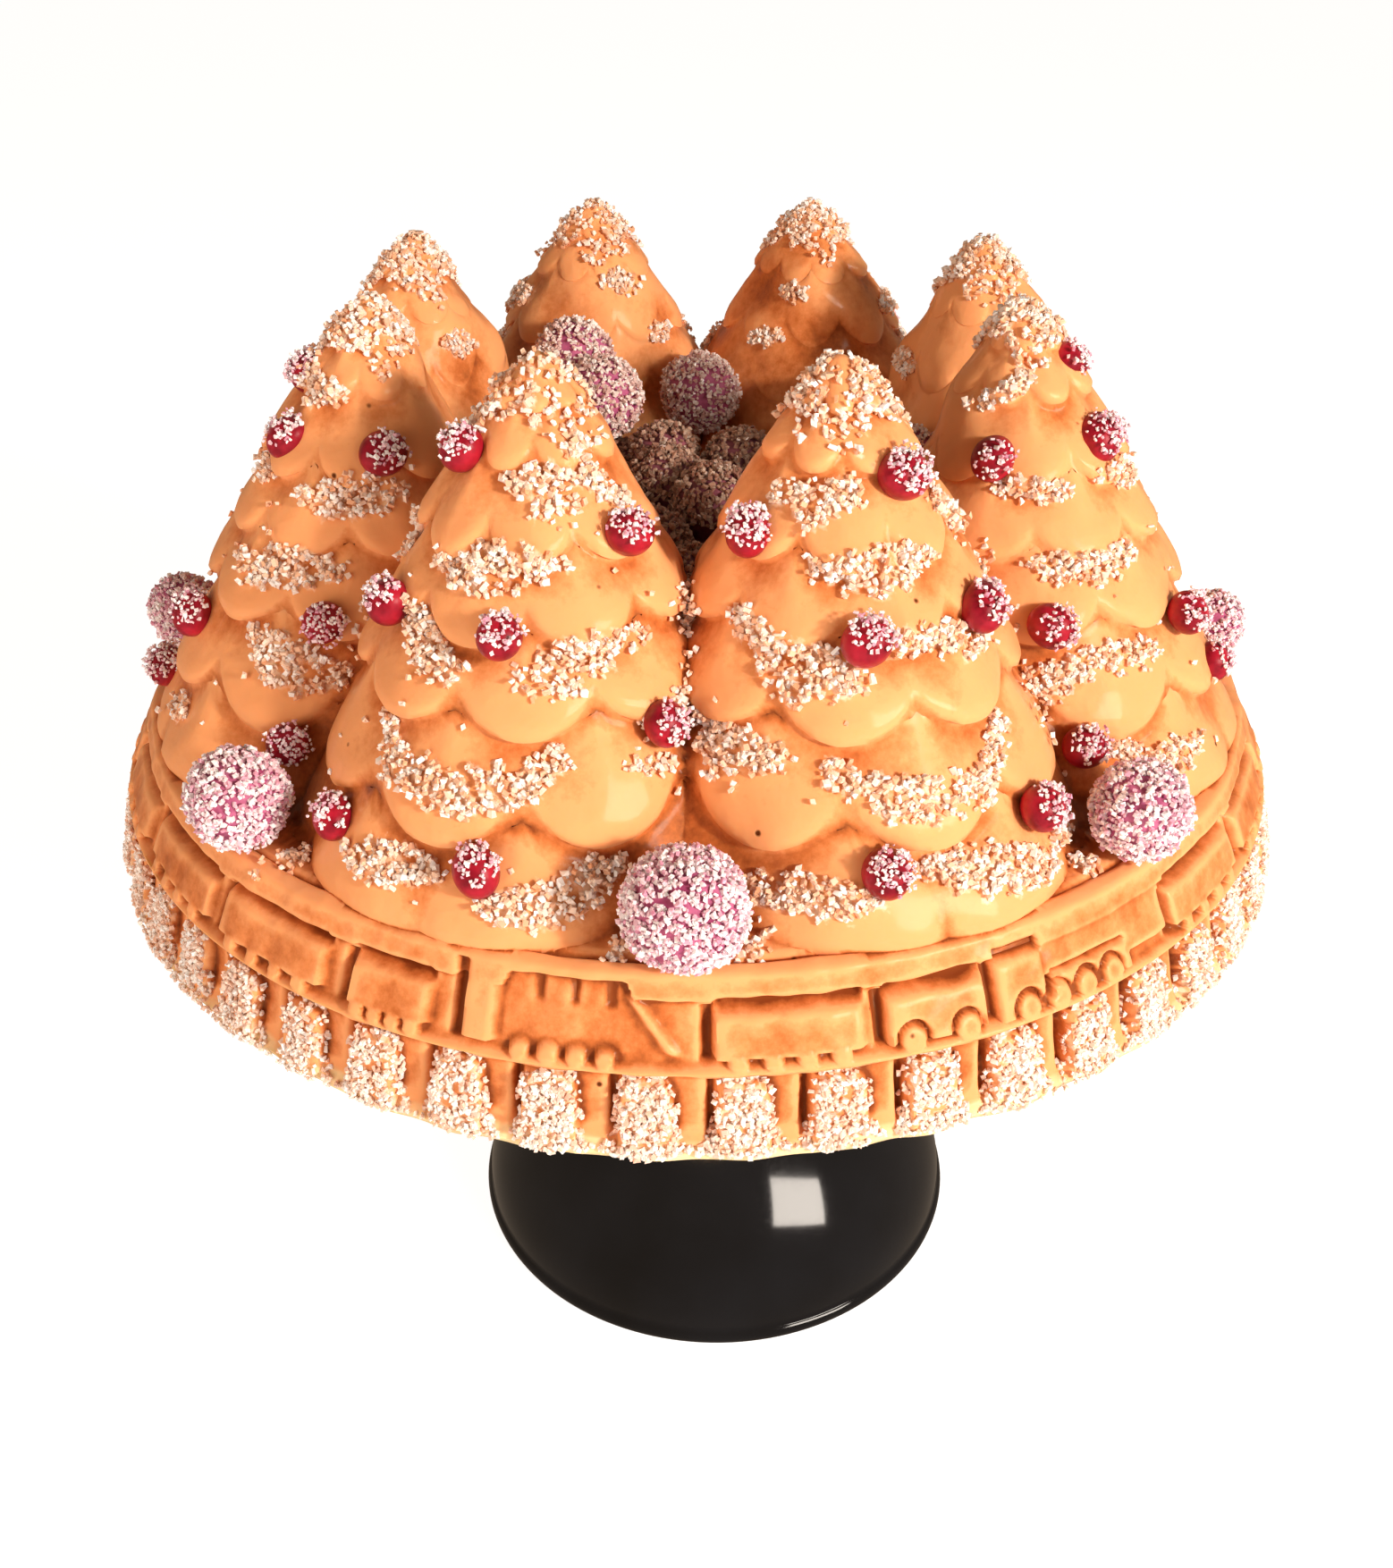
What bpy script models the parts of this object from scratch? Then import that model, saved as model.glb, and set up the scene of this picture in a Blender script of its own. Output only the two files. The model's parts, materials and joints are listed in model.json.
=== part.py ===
# A bundt cake on its black pedestal stand: a ring of eight fir trees over a band with a train and a
# track, red berries pressed on the trees, big sugared berries in the valleys and a heap in the hole.
#
# Metres, +Z up. The origin is on the table on the cake's axis, and the front of the cake faces -Y.
# A bearing is an angle round the cake's axis, 0 at the front and growing towards +X. A turn is an angle
# round one tree's own axis, 0 where it faces away from the cake's axis. Heights on the cake are measured
# from its underside. Tier 0 is a tree's cap and the last tier stands on the ledge.

import math

import bmesh
import bpy
from mathutils import Matrix, Vector
from mathutils.bvhtree import BVHTree

# Whole object
STAND_HEIGHT = 0.1284        # table to the underside of the cake
CAKE_RADIUS = 0.1297         # bottom rim
GAP = 0.0003                 # between pieces that touch

# Band under the trees: the ledge, the train's wall, the rail and the sleepers
LEDGE_RADIUS = 0.1166
LEDGE_HEIGHT = 0.0312
RAIL_RADIUS = 0.1242
RAIL_HEIGHT = 0.0159
RAIL_SIZE = 0.0008
RIM_SLOPE = (0.0035, 0.0055)  # depth and height where the rim starts to curve in
RIM_EDGE = (0.0004, 0.0014)  # the same for its lower edge
VALLEY_ROWS = ((0.80, 0.0080), (0.90, 0.0015))  # share of the ledge's radius and height over it
CREST_RADIUS = 0.0660        # top of the ring inside the trees
CREST_HEIGHT = 0.0600
HOLE_FOOT_RADIUS = 0.0225
HOLE_TOP_RADIUS = 0.0335
HOLE_TOP_HEIGHT = 0.0500
RING_STEPS = 48

# Trees
TREE_COUNT = 8
TREE_HEIGHT = 0.1167         # cake's underside to the tips
TREE_TIP_RADIUS = 0.0653     # of the circle of tips
TREE_FOOT_RADIUS = 0.0718    # of the circle of feet
TREE_FOOT_HALF_WIDTH = 0.0448
TREE_TAPER = 0.72            # 1 would be a straight cone, less is rounder
TREE_ROOT = 0.0040           # how far a tree reaches down into the ring
TREE_ROOT_SHARE = 0.92       # its width there, as a share of that at the ledge
LOBES = 8                    # in one tier
TIER_LOWS = (0.1086, 0.1004, 0.0865, 0.0748, 0.0618, 0.0449, 0.0300)
TIER_ARCHES = (0.0016, 0.0034, 0.0055, 0.0052, 0.0060, 0.0078, 0.0)
# Rows of a tier: share of the way down, then shares of the overhang: how proud the middle of a lobe
# stands, and how much of that is lost at its seams. The first row is a peak under the seam above it.
SMALL_TIER_ROWS = ((0.0, -0.15, 0.65), (0.88, 0.85, 0.60))
BROAD_TIER_ROWS = ((0.0, -0.12, 0.78), (0.45, 0.50, 0.64), (0.92, 0.85, 0.62))
LOBE_ROUNDING = 1.5          # 0 would keep a sharp ridge all the way down a lobe
CAP_ROWS = (0.12, 0.92)
OVERHANG_TOP = 0.0010
OVERHANG_FOOT = 0.0020
INNER_RELIEF = 0.50          # share of the overhang that is left on the side that faces the hole
COARSE_TURN = 22.5           # degrees between a tree's columns
FINE_TURN = 11.25            # between those on the open side of its broad lower tiers
OPEN_SIDE = 90.0
FIRST_BROAD_TIER = 3
LAST_SMALL_TIER = 2
INNER_FLATNESS = 0.14        # how much slimmer a tree is towards the hole

# Train and sleepers on the band
SLEEPER_COUNT = 48
SLEEPER_BEARING = 4.8        # degrees, of the first one
SLEEPER_WIDTH = 0.0092
SLEEPER_DEPTH = 0.0052
SLEEPER_TOP = 0.0138
SLEEPER_FOOT = 0.0006
SLEEPER_TAPER = 0.80
SLEEPER_PROUD = 0.0022       # at its top
SLEEPER_SUNK = 0.4           # share of that left at its foot, which sinks into the rim
SLEEPER_CHAMFER = 0.0012
PANEL_PROUD = 0.0012
PANEL_SINK = 0.0015
FRONT_WAGONS = ((-28.8, -18.4), (-13.7, -1.9), (2.3, 14.3))    # first and last bearing in degrees
OTHER_WAGONS = 19
WAGON_START = 46.2
WAGON_PITCH = 15.0
WAGON_LOW = 0.0172
WAGON_HIGH = 0.0275
WAGON_LENGTH = 12.0          # degrees, the rest of the pitch is the coupling's gap
WHEEL_RADIUS = 0.0022
WHEEL_PROUD = 0.0020
WHEEL_TAPER = 0.75
WHEEL_LIFT = 0.8             # radii from the rail to its middle
TENDER = (16.2, 24.7)        # bearings in degrees
CAB = (26.0, 30.4)
CAB_LOW = 0.0160
CAB_HIGH = 0.0290
BOILER = (30.4, 41.2)
BOILER_LOW = 0.0180
BOILER_HIGH = 0.0235
CHIMNEY = (37.6, 39.2)
CHIMNEY_LOW = 0.0225
LOCO_WHEELS = (28.8, 32.8, 36.4, 40.0)
TENDER_WHEELS = (18.2, 22.8)

# Berries
RED_RADIUS = 0.0045
RED_SINK = 0.35              # share of the radius below the middle where a red berry is flat
PROBE_STEPS = 12             # points round each ring that feels for the cake under a red berry
PROBE_RINGS = (0.0, 0.35, 0.7, 1.0)  # shares of the berry's radius
PROBE_START = 4.0            # radii over the surface
PROBE_LIMIT = 2.5            # radii, a point further off than that is on another lobe
LEDGE_BERRY_START = 0.0120   # from the ledge's edge towards the valley
HOLE_BERRY_START = 0.0070    # below and outside the place where it may rest
LEDGE_BERRIES = (            # bearing in degrees and radius, in the valleys between the trees
    (0.2, 0.0101),
    (-45.0, 0.0089),
    (45.0, 0.0086),
    (-90.0, 0.0077),
    (90.0, 0.0068),
    (-135.0, 0.0088),
    (135.0, 0.0084),
    (180.0, 0.0092),
)
HOLE_BERRIES = (             # bearing, distance from the axis, height and radius, over the heap
    (180.0, 0.0440, 0.0760, 0.0088),
    (-140.5, 0.0485, 0.0835, 0.0085),
    (-132.5, 0.0380, 0.0737, 0.0086),
    (134.0, 0.0430, 0.0760, 0.0085),
    (90.0, 0.0440, 0.0750, 0.0080),
    (-90.0, 0.0440, 0.0750, 0.0078),
)
# Red berries of each tree, turn in degrees and height. The first tree stands to the right of the front.
RED_BERRIES = (
    ((19.0, 0.0990), (-70.0, 0.0905), (-16.0, 0.0765), (36.0, 0.0775), (-14.0, 0.0430), (31.0, 0.0445)),
    ((8.0, 0.1060), (-19.0, 0.0940), (-89.0, 0.0915), (-64.0, 0.0660), (-8.0, 0.0605), (-57.0, 0.0450),
     (4.0, 0.0490)),
    ((-40.0, 0.0930), (30.0, 0.0860), (-10.0, 0.0700), (38.0, 0.0450)),
    ((36.0, 0.0920), (-32.0, 0.0840), (8.0, 0.0690), (-30.0, 0.0440)),
    ((-38.0, 0.0940), (34.0, 0.0850), (-8.0, 0.0700), (30.0, 0.0450)),
    ((40.0, 0.0930), (-30.0, 0.0850), (6.0, 0.0700), (-36.0, 0.0440)),
    ((-9.0, 0.1030), (18.0, 0.0930), (84.0, 0.0920), (62.0, 0.0655), (2.0, 0.0580), (55.0, 0.0440),
     (-20.0, 0.0400)),
    ((-35.0, 0.1010), (72.0, 0.0900), (15.0, 0.0765), (-39.0, 0.0770), (64.0, 0.0610), (-32.0, 0.0420),
     (13.0, 0.0425)),
)

# Coarse sugar on the upper shelf of the lobes that face out
SUGAR_THICKNESS = 0.0009
SUGARED_SIDE = 65.0          # degrees of turn
FIRST_SUGARED_TIER = 2

# Heap in the hole
HEAP_CORE_TOP = 0.0630
HEAP_CORE_SHARE = 0.9        # of the hole's foot, where the core's top starts to slope
HEAP_CORE_CROWN = 0.0010
HEAP_SHOULDER = 0.0020       # below the top of the hole
HEAP_CLEARANCE = 0.0012
HEAP_STEPS = 16
HEAP_BERRIES = (             # bearing, distance from the axis, height and radius, the top four first
    (-153.0, 0.0165, 0.0705, 0.0078),
    (140.0, 0.0150, 0.0700, 0.0082),
    (-120.0, 0.0075, 0.0690, 0.0080),
    (30.0, 0.0075, 0.0680, 0.0088),
    (-75.0, 0.0190, 0.0640, 0.0085),
    (75.0, 0.0195, 0.0645, 0.0084),
    (-28.0, 0.0195, 0.0625, 0.0085),
    (30.0, 0.0235, 0.0615, 0.0080),
    (0.0, 0.0300, 0.0600, 0.0080),
    (-133.0, 0.0255, 0.0650, 0.0085),
    (-58.0, 0.0290, 0.0585, 0.0078),
    (62.0, 0.0290, 0.0590, 0.0078),
)
HEAP_BERRY_TURN = 40.0       # degrees between the facets of one berry and the next

# Stand
STAND_SHIFT = 0.0049         # the cake sits this far off the stand's middle, which is towards +X
FOOT_RADIUS = 0.0624
FOOT_RECESS = 0.0030
FOOT_RECESS_EDGE = (0.0090, 0.0100)  # from the foot's edge, at the bottom and at the top of the recess
FOOT_CHAMFER = 0.0012
FOOT_EDGE = 0.0030           # height of the foot's upright edge
DOME_HEIGHT = 0.0640
DOME_POWER = 1.3             # 1 is a quarter wave, more is hollower near the stem
DOME_STEPS = 5
STEM_RADIUS = 0.0170
STEM_TOP = 0.0900
PLATE_RADIUS = 0.1120
PLATE_THICKNESS = 0.0065
PLATE_CHAMFER = 0.0020
PLATE_UNDERCUT = (0.0030, 0.0015)    # how far its underside steps in, and how far it slopes
FLARE_RADIUS = 0.0480        # of the stem where it meets the plate
FLARE_POWER = 2.4
FLARE_STEPS = 3
STAND_STEPS = 30

COLOURS = {
    "cake": ((0.83, 0.36, 0.09), 0.28),
    "red_berry": ((0.42, 0.01, 0.02), 0.22),
    "big_berry": ((0.62, 0.34, 0.42), 0.75),
    "berry_heap": ((0.55, 0.32, 0.36), 0.80),
    "stand": ((0.008, 0.008, 0.009), 0.08),
}


# Scene and small helpers

def clear_scene():
    for item in list(bpy.data.objects):
        bpy.data.objects.remove(item, do_unlink=True)


def make_collection(name):
    collection = bpy.data.collections.new(name)
    bpy.context.scene.collection.children.link(collection)
    return collection


def make_material(name):
    colour, roughness = COLOURS[name]
    material = bpy.data.materials.new(name)
    material.use_nodes = True
    shader = material.node_tree.nodes["Principled BSDF"]
    shader.inputs["Base Color"].default_value = (*colour, 1.0)
    shader.inputs["Roughness"].default_value = roughness
    shader.inputs["Metallic"].default_value = 0.0
    return material


def object_from(bm, name, collection, material=None):
    bmesh.ops.recalc_face_normals(bm, faces=bm.faces)
    mesh = bpy.data.meshes.new(name)
    bm.to_mesh(mesh)
    bm.free()
    item = bpy.data.objects.new(name, mesh)
    collection.objects.link(item)
    if material is not None:
        mesh.materials.append(material)
    return item


def shade(item, angle=40.0):
    item.data.shade_smooth()
    item.data.set_sharp_from_angle(angle=math.radians(angle))


def towards(bearing):
    return Vector((math.sin(bearing), -math.cos(bearing), 0.0))


def around(bearing, radius, height):
    point = towards(bearing) * radius
    point.z = STAND_HEIGHT + height
    return point


def turned(name, profile, steps, collection, material=None):
    """A closed profile of (radius, height) turned round +Z. It runs down its outer side first."""
    mesh = bpy.data.meshes.new(name)
    points = [(radius, 0.0, height) for radius, height in profile]
    closed = profile[0][0] > 0.0
    edges = [(i, i + 1) for i in range(len(points) - 1)]
    if closed:
        edges.append((len(points) - 1, 0))
    mesh.from_pydata(points, edges, [])
    item = bpy.data.objects.new(name, mesh)
    collection.objects.link(item)
    screw = item.modifiers.new("turn", "SCREW")
    screw.axis = "Z"
    screw.steps = steps
    screw.render_steps = steps
    screw.use_merge_vertices = True
    screw.merge_threshold = 0.00005
    if material is not None:
        mesh.materials.append(material)
    return item


def evaluated_mesh(item):
    graph = bpy.context.evaluated_depsgraph_get()
    return bpy.data.meshes.new_from_object(item.evaluated_get(graph))


def join_all(base, helpers, solver):
    """Fuses the collection of helpers into the base, then removes them."""
    union = base.modifiers.new("join", "BOOLEAN")
    union.operation = "UNION"
    union.operand_type = "COLLECTION"
    union.collection = helpers
    union.solver = solver
    bpy.context.view_layer.update()
    mesh = evaluated_mesh(base)
    base.modifiers.clear()
    base.data = mesh
    for item in list(helpers.objects):
        bpy.data.objects.remove(item, do_unlink=True)
    bpy.data.collections.remove(helpers)


# The trees

def lobe_place(tier, turn):
    """-1 to 1 across a lobe of that tier, 0 at its middle. Every second tier is shifted half a lobe."""
    width = math.tau / LOBES
    shift = 0.5 if tier % 2 == 0 else 0.0
    share = turn / width + shift
    return 2.0 * (share - math.floor(share + 0.5))


def tier_edge(tier, turn):
    """The scalloped lower edge of a tier."""
    return TIER_LOWS[tier] + TIER_ARCHES[tier] * lobe_place(tier, turn) ** 2


def cone_share(height):
    return max(0.0, (TREE_HEIGHT - height) / (TREE_HEIGHT - LEDGE_HEIGHT))


def cone_radius(height):
    return TREE_FOOT_HALF_WIDTH * cone_share(height) ** TREE_TAPER


def inner_share(turn):
    """Slims a tree on the side that faces the hole."""
    return 1.0 - INNER_FLATNESS * max(0.0, -math.cos(turn)) ** 2


def axis_radius(height):
    return TREE_TIP_RADIUS + (TREE_FOOT_RADIUS - TREE_TIP_RADIUS) * min(1.0, cone_share(height))


def tree_turns(open_step):
    """The columns' turns, closer together by open_step on the side that faces out."""
    turns = []
    turn = -OPEN_SIDE
    while turn < 360.0 - OPEN_SIDE - 0.01:
        turns.append(math.radians(turn))
        turn += open_step if turn < OPEN_SIDE - 0.01 else COARSE_TURN
    return turns


def sugar_depth(tier, turn, share):
    if tier < FIRST_SUGARED_TIER or abs(math.degrees(turn)) > SUGARED_SIDE or not 0.1 < share < 0.7:
        return 0.0
    return SUGAR_THICKNESS * (1.0 - lobe_place(tier, turn) ** 2)


def tier_row(tier, turns, share, middle, seam):
    """Turn, radius and height of each column, a share of the way down a tier."""
    row = []
    for turn in turns:
        top = tier_edge(tier - 1, turn)
        height = top + (tier_edge(tier, turn) - top) * share
        across = abs(lobe_place(tier, turn)) ** (1.0 + LOBE_ROUNDING * share)
        overhang = OVERHANG_TOP + (OVERHANG_FOOT - OVERHANG_TOP) * cone_share(height)
        overhang *= 1.0 - (1.0 - INNER_RELIEF) * max(0.0, -math.cos(turn))
        out = overhang * (middle - seam * across) + sugar_depth(tier, turn, share)
        row.append((turn, cone_radius(height) * inner_share(turn) + out, height))
    return row


def tree_rows():
    """The rows of a tree from under its tip to its root."""
    coarse = tree_turns(COARSE_TURN)
    fine = tree_turns(FINE_TURN)
    rows = []
    for share in CAP_ROWS:
        row = []
        for turn in coarse:
            height = TREE_HEIGHT + (tier_edge(0, turn) - TREE_HEIGHT) * share
            row.append((turn, cone_radius(height) * inner_share(turn), height))
        rows.append(row)
    for tier in range(1, len(TIER_LOWS)):
        turns = fine if tier >= FIRST_BROAD_TIER else coarse
        for share, middle, seam in SMALL_TIER_ROWS if tier <= LAST_SMALL_TIER else BROAD_TIER_ROWS:
            rows.append(tier_row(tier, turns, share, middle, seam))
    root = LEDGE_HEIGHT - TREE_ROOT
    foot = TREE_ROOT_SHARE * cone_radius(LEDGE_HEIGHT)
    rows.append([(turn, foot * inner_share(turn), root) for turn in fine])
    return rows


def tree_point(bearing, turn, radius, height):
    centre = around(bearing, axis_radius(height), height)
    return centre + towards(bearing + turn) * radius


def skin_between(bm, upper, lower):
    """Faces between two rows of (turn, vertex). The lower row may have columns that the upper lacks."""
    for (start, first), (end, second) in zip(upper, upper[1:] + upper[:1]):
        if end < start:
            end += math.tau
        between = []
        for turn, vert in lower:
            if start - 0.001 < turn < end + 0.001:
                between.append(vert)
        if end > lower[-1][0] + 0.001:
            between.append(lower[0][1])
        bm.faces.new([first] + between + [second])


def build_tree(index, collection):
    """One tree as a loft from its tip down through the scalloped tiers."""
    bearing = (index + 0.5) * math.tau / TREE_COUNT
    bm = bmesh.new()
    tip = bm.verts.new(around(bearing, TREE_TIP_RADIUS, TREE_HEIGHT))
    rows = []
    for section in tree_rows():
        row = []
        for turn, radius, height in section:
            row.append((turn, bm.verts.new(tree_point(bearing, turn, radius, height))))
        rows.append(row)
    for first, second in zip(rows[0], rows[0][1:] + rows[0][:1]):
        bm.faces.new((tip, first[1], second[1]))
    for upper, lower in zip(rows, rows[1:]):
        skin_between(bm, upper, lower)
    bm.faces.new([vert for turn, vert in rows[-1]])
    return object_from(bm, f"tree_{index + 1}", collection)


# The band

def band_radius(height):
    """Of the train's wall, between the ledge and the rail."""
    share = (LEDGE_HEIGHT - height) / (LEDGE_HEIGHT - RAIL_HEIGHT)
    return LEDGE_RADIUS + (RAIL_RADIUS - LEDGE_RADIUS) * share


def ring_profile():
    low = STAND_HEIGHT
    points = [
        (HOLE_TOP_RADIUS, HOLE_TOP_HEIGHT),
        (CREST_RADIUS, CREST_HEIGHT),
    ]
    for share, rise in VALLEY_ROWS:
        points.append((LEDGE_RADIUS * share, LEDGE_HEIGHT + rise))
    points += [
        (LEDGE_RADIUS, LEDGE_HEIGHT),
        (RAIL_RADIUS - RAIL_SIZE, RAIL_HEIGHT + RAIL_SIZE),
        (RAIL_RADIUS, RAIL_HEIGHT),
        (RAIL_RADIUS - RAIL_SIZE, RAIL_HEIGHT - 1.5 * RAIL_SIZE),
        (CAKE_RADIUS - RIM_SLOPE[0], RIM_SLOPE[1]),
        (CAKE_RADIUS, RIM_EDGE[1]),
        (CAKE_RADIUS - RIM_EDGE[0], 0.0),
        (HOLE_FOOT_RADIUS, 0.0),
    ]
    return [(radius, low + height) for radius, height in points]


def arc_block(name, bearings, heights, collection, steps=2):
    """A block that follows the band's wall between two bearings and two heights."""
    bm = bmesh.new()
    loops = []
    for step in range(steps + 1):
        bearing = math.radians(bearings[0] + (bearings[1] - bearings[0]) * step / steps)
        loop = []
        for height, depth in ((heights[0], -PANEL_SINK), (heights[0], PANEL_PROUD),
                              (heights[1], PANEL_PROUD), (heights[1], -PANEL_SINK)):
            loop.append(bm.verts.new(around(bearing, band_radius(height) + depth, height)))
        loops.append(loop)
    for first, second in zip(loops, loops[1:]):
        for i in range(4):
            j = (i + 1) % 4
            bm.faces.new((first[i], second[i], second[j], first[j]))
    bm.faces.new(loops[0])
    bm.faces.new(loops[-1])
    return object_from(bm, name, collection)


def wheel(name, bearing, radius, collection):
    """A short drum on the wall, its middle just above the rail."""
    height = RAIL_HEIGHT + WHEEL_LIFT * radius
    bm = bmesh.new()
    bmesh.ops.create_cone(bm, cap_ends=True, segments=8, radius1=radius, radius2=radius * WHEEL_TAPER,
                          depth=PANEL_SINK + WHEEL_PROUD)
    angle = math.radians(bearing)
    lean = math.atan2(RAIL_RADIUS - LEDGE_RADIUS, LEDGE_HEIGHT - RAIL_HEIGHT)
    middle = around(angle, band_radius(height) + 0.5 * (WHEEL_PROUD - PANEL_SINK), height)
    place = (Matrix.Translation(middle) @ Matrix.Rotation(angle, 4, "Z")
             @ Matrix.Rotation(math.radians(90.0) - lean, 4, "X"))
    bmesh.ops.transform(bm, matrix=place, verts=bm.verts)
    return object_from(bm, name, collection)


def sleeper(name, bearing, collection):
    """A tapered block from the rail down to the rim."""
    bm = bmesh.new()
    bmesh.ops.create_cube(bm, size=1.0)
    for vert in bm.verts:
        side = vert.co.x
        upper = vert.co.z > 0.0
        outer = vert.co.y < 0.0
        height = SLEEPER_TOP if upper else SLEEPER_FOOT
        wall = RAIL_RADIUS - RAIL_SIZE if upper else CAKE_RADIUS - SLEEPER_PROUD
        if outer:
            radius = wall + SLEEPER_PROUD * (1.0 if upper else SLEEPER_SUNK)
            side *= SLEEPER_TAPER
            height -= SLEEPER_CHAMFER if upper else 0.0
        else:
            radius = wall - SLEEPER_DEPTH
        spot = around(math.radians(bearing), radius, height)
        vert.co = spot + towards(math.radians(bearing + 90.0)) * side * SLEEPER_WIDTH
    return object_from(bm, name, collection)


def build_train(collection):
    wagons = list(FRONT_WAGONS)
    for index in range(OTHER_WAGONS):
        start = WAGON_START + index * WAGON_PITCH
        wagons.append((start, start + WAGON_LENGTH))
    for index, wagon in enumerate(wagons):
        arc_block(f"wagon_{index}", wagon, (WAGON_LOW, WAGON_HIGH), collection)
    arc_block("tender", TENDER, (WAGON_LOW, WAGON_HIGH), collection)
    arc_block("cab", CAB, (CAB_LOW, CAB_HIGH), collection, 1)
    arc_block("boiler", BOILER, (BOILER_LOW, BOILER_HIGH), collection)
    arc_block("chimney", CHIMNEY, (CHIMNEY_LOW, CAB_HIGH), collection, 1)
    for index, place in enumerate(LOCO_WHEELS + TENDER_WHEELS):
        wheel(f"wheel_{index}", place, WHEEL_RADIUS, collection)


def build_cake(collection):
    """The ring, its trees, the train and the sleepers, joined into one solid."""
    ring = turned("cake", ring_profile(), RING_STEPS, collection)
    ring.data = evaluated_mesh(ring)
    ring.modifiers.clear()
    half_facet = 0.5 * math.tau / RING_STEPS
    ring.data.transform(Matrix.Rotation(math.radians(SLEEPER_BEARING) - half_facet, 4, "Z"))
    helpers = make_collection("cake_pieces")
    for index in range(TREE_COUNT):
        build_tree(index, helpers)
    for index in range(SLEEPER_COUNT):
        sleeper(f"sleeper_{index}", SLEEPER_BEARING + index * 360.0 / SLEEPER_COUNT, helpers)
    build_train(helpers)
    join_all(ring, helpers, "MANIFOLD")
    ring.data.materials.clear()
    ring.data.materials.append(make_material("cake"))
    shade(ring)
    return ring


# Berries

def surface_tree(item):
    bm = bmesh.new()
    bm.from_mesh(item.data)
    tree = BVHTree.FromBMesh(bm)
    bm.free()
    return tree


def probe_offsets(axis, radius):
    """Points of a ring round an axis."""
    side = axis.orthogonal().normalized() * radius
    return [Matrix.Rotation(step * math.tau / PROBE_STEPS, 3, axis) @ side for step in range(PROBE_STEPS)]


def surface_under(surface, outside, inward, reach):
    """Where the cake is met from outside, its mean direction there, and how far it stands proud."""
    point = surface.ray_cast(outside, inward)[0]
    normal = Vector()
    for offset in probe_offsets(inward, reach * PROBE_RINGS[2]):
        hit = surface.ray_cast(outside + offset, inward)
        if hit[0] is not None and (hit[0] - point).length < PROBE_LIMIT * reach:
            normal += hit[1]
    normal.normalize()
    proud = 0.0
    for ring in PROBE_RINGS:
        for offset in probe_offsets(normal, reach * ring):
            start = point + offset + normal * PROBE_START * reach
            hit = surface.ray_cast(start, -normal)
            if hit[0] is not None:
                proud = max(proud, PROBE_START * reach - hit[3])
    return point, normal, proud


def build_red_berry(index, point, normal, collection, material):
    """A ball cut flat where it meets the cake."""
    bm = bmesh.new()
    bmesh.ops.create_uvsphere(bm, u_segments=7, v_segments=4, radius=RED_RADIUS)
    cut = -RED_SINK * RED_RADIUS
    everything = bm.verts[:] + bm.edges[:] + bm.faces[:]
    bmesh.ops.bisect_plane(bm, geom=everything, plane_co=(0.0, 0.0, cut), plane_no=(0.0, 0.0, 1.0),
                           clear_inner=True)
    bmesh.ops.holes_fill(bm, edges=bm.edges)
    bmesh.ops.translate(bm, vec=(0.0, 0.0, -cut), verts=bm.verts)
    item = object_from(bm, f"red_berry_{index:02d}", collection, material)
    shade(item)
    item.rotation_euler = normal.to_track_quat("Z", "Y").to_euler()
    item.location = point
    return item


def build_red_berries(cake, collection):
    material = make_material("red_berry")
    surface = surface_tree(cake)
    index = 0
    for number, places in enumerate(RED_BERRIES):
        bearing = (number + 0.5) * math.tau / TREE_COUNT
        for turn, height in places:
            index += 1
            inward = -towards(bearing + math.radians(turn))
            outside = tree_point(bearing, math.radians(turn), 2.0 * TREE_FOOT_HALF_WIDTH, height)
            point, normal, proud = surface_under(surface, outside, inward, RED_RADIUS)
            build_red_berry(index, point + normal * (proud + GAP), normal, collection, material)


def is_clear(spot, radius, surfaces, balls):
    for surface in surfaces:
        nearest, normal, face, distance = surface.find_nearest(spot)
        if (spot - nearest).dot(normal) < 0.0 or distance < radius + GAP:
            return False
    return all((spot - other).length > radius + size + GAP for other, size in balls)


def clear_spot(spot, path, radius, surfaces, balls):
    """Moves a ball along a path until it only just touches."""
    path = path.normalized()
    while not is_clear(spot, radius, surfaces, balls):
        spot = spot + path * 0.0001
    return spot


def big_berry_places():
    """Start, path and radius of each big berry. It is pushed along the path until it is clear."""
    places = []
    for degrees, radius in LEDGE_BERRIES:
        bearing = math.radians(degrees)
        start = around(bearing, LEDGE_RADIUS - LEDGE_BERRY_START, LEDGE_HEIGHT + radius + 2.0 * GAP)
        places.append((start, towards(bearing), radius))
    for degrees, distance, height, radius in HOLE_BERRIES:
        bearing = math.radians(degrees)
        path = Vector((0.0, 0.0, 1.0)) - towards(bearing)
        start = around(bearing, distance, height) - path * HOLE_BERRY_START
        places.append((start, path, radius))
    return places


def build_big_berries(cake, heap, collection):
    material = make_material("big_berry")
    surfaces = (surface_tree(cake), surface_tree(heap))
    balls = []
    for index, (start, path, radius) in enumerate(big_berry_places()):
        spot = clear_spot(start, path, radius, surfaces, balls)
        balls.append((spot, radius))
        bm = bmesh.new()
        bmesh.ops.create_uvsphere(bm, u_segments=8, v_segments=6, radius=radius)
        item = object_from(bm, f"big_berry_{index + 1:02d}", collection, material)
        item.location = spot
        shade(item, 60.0)


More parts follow.
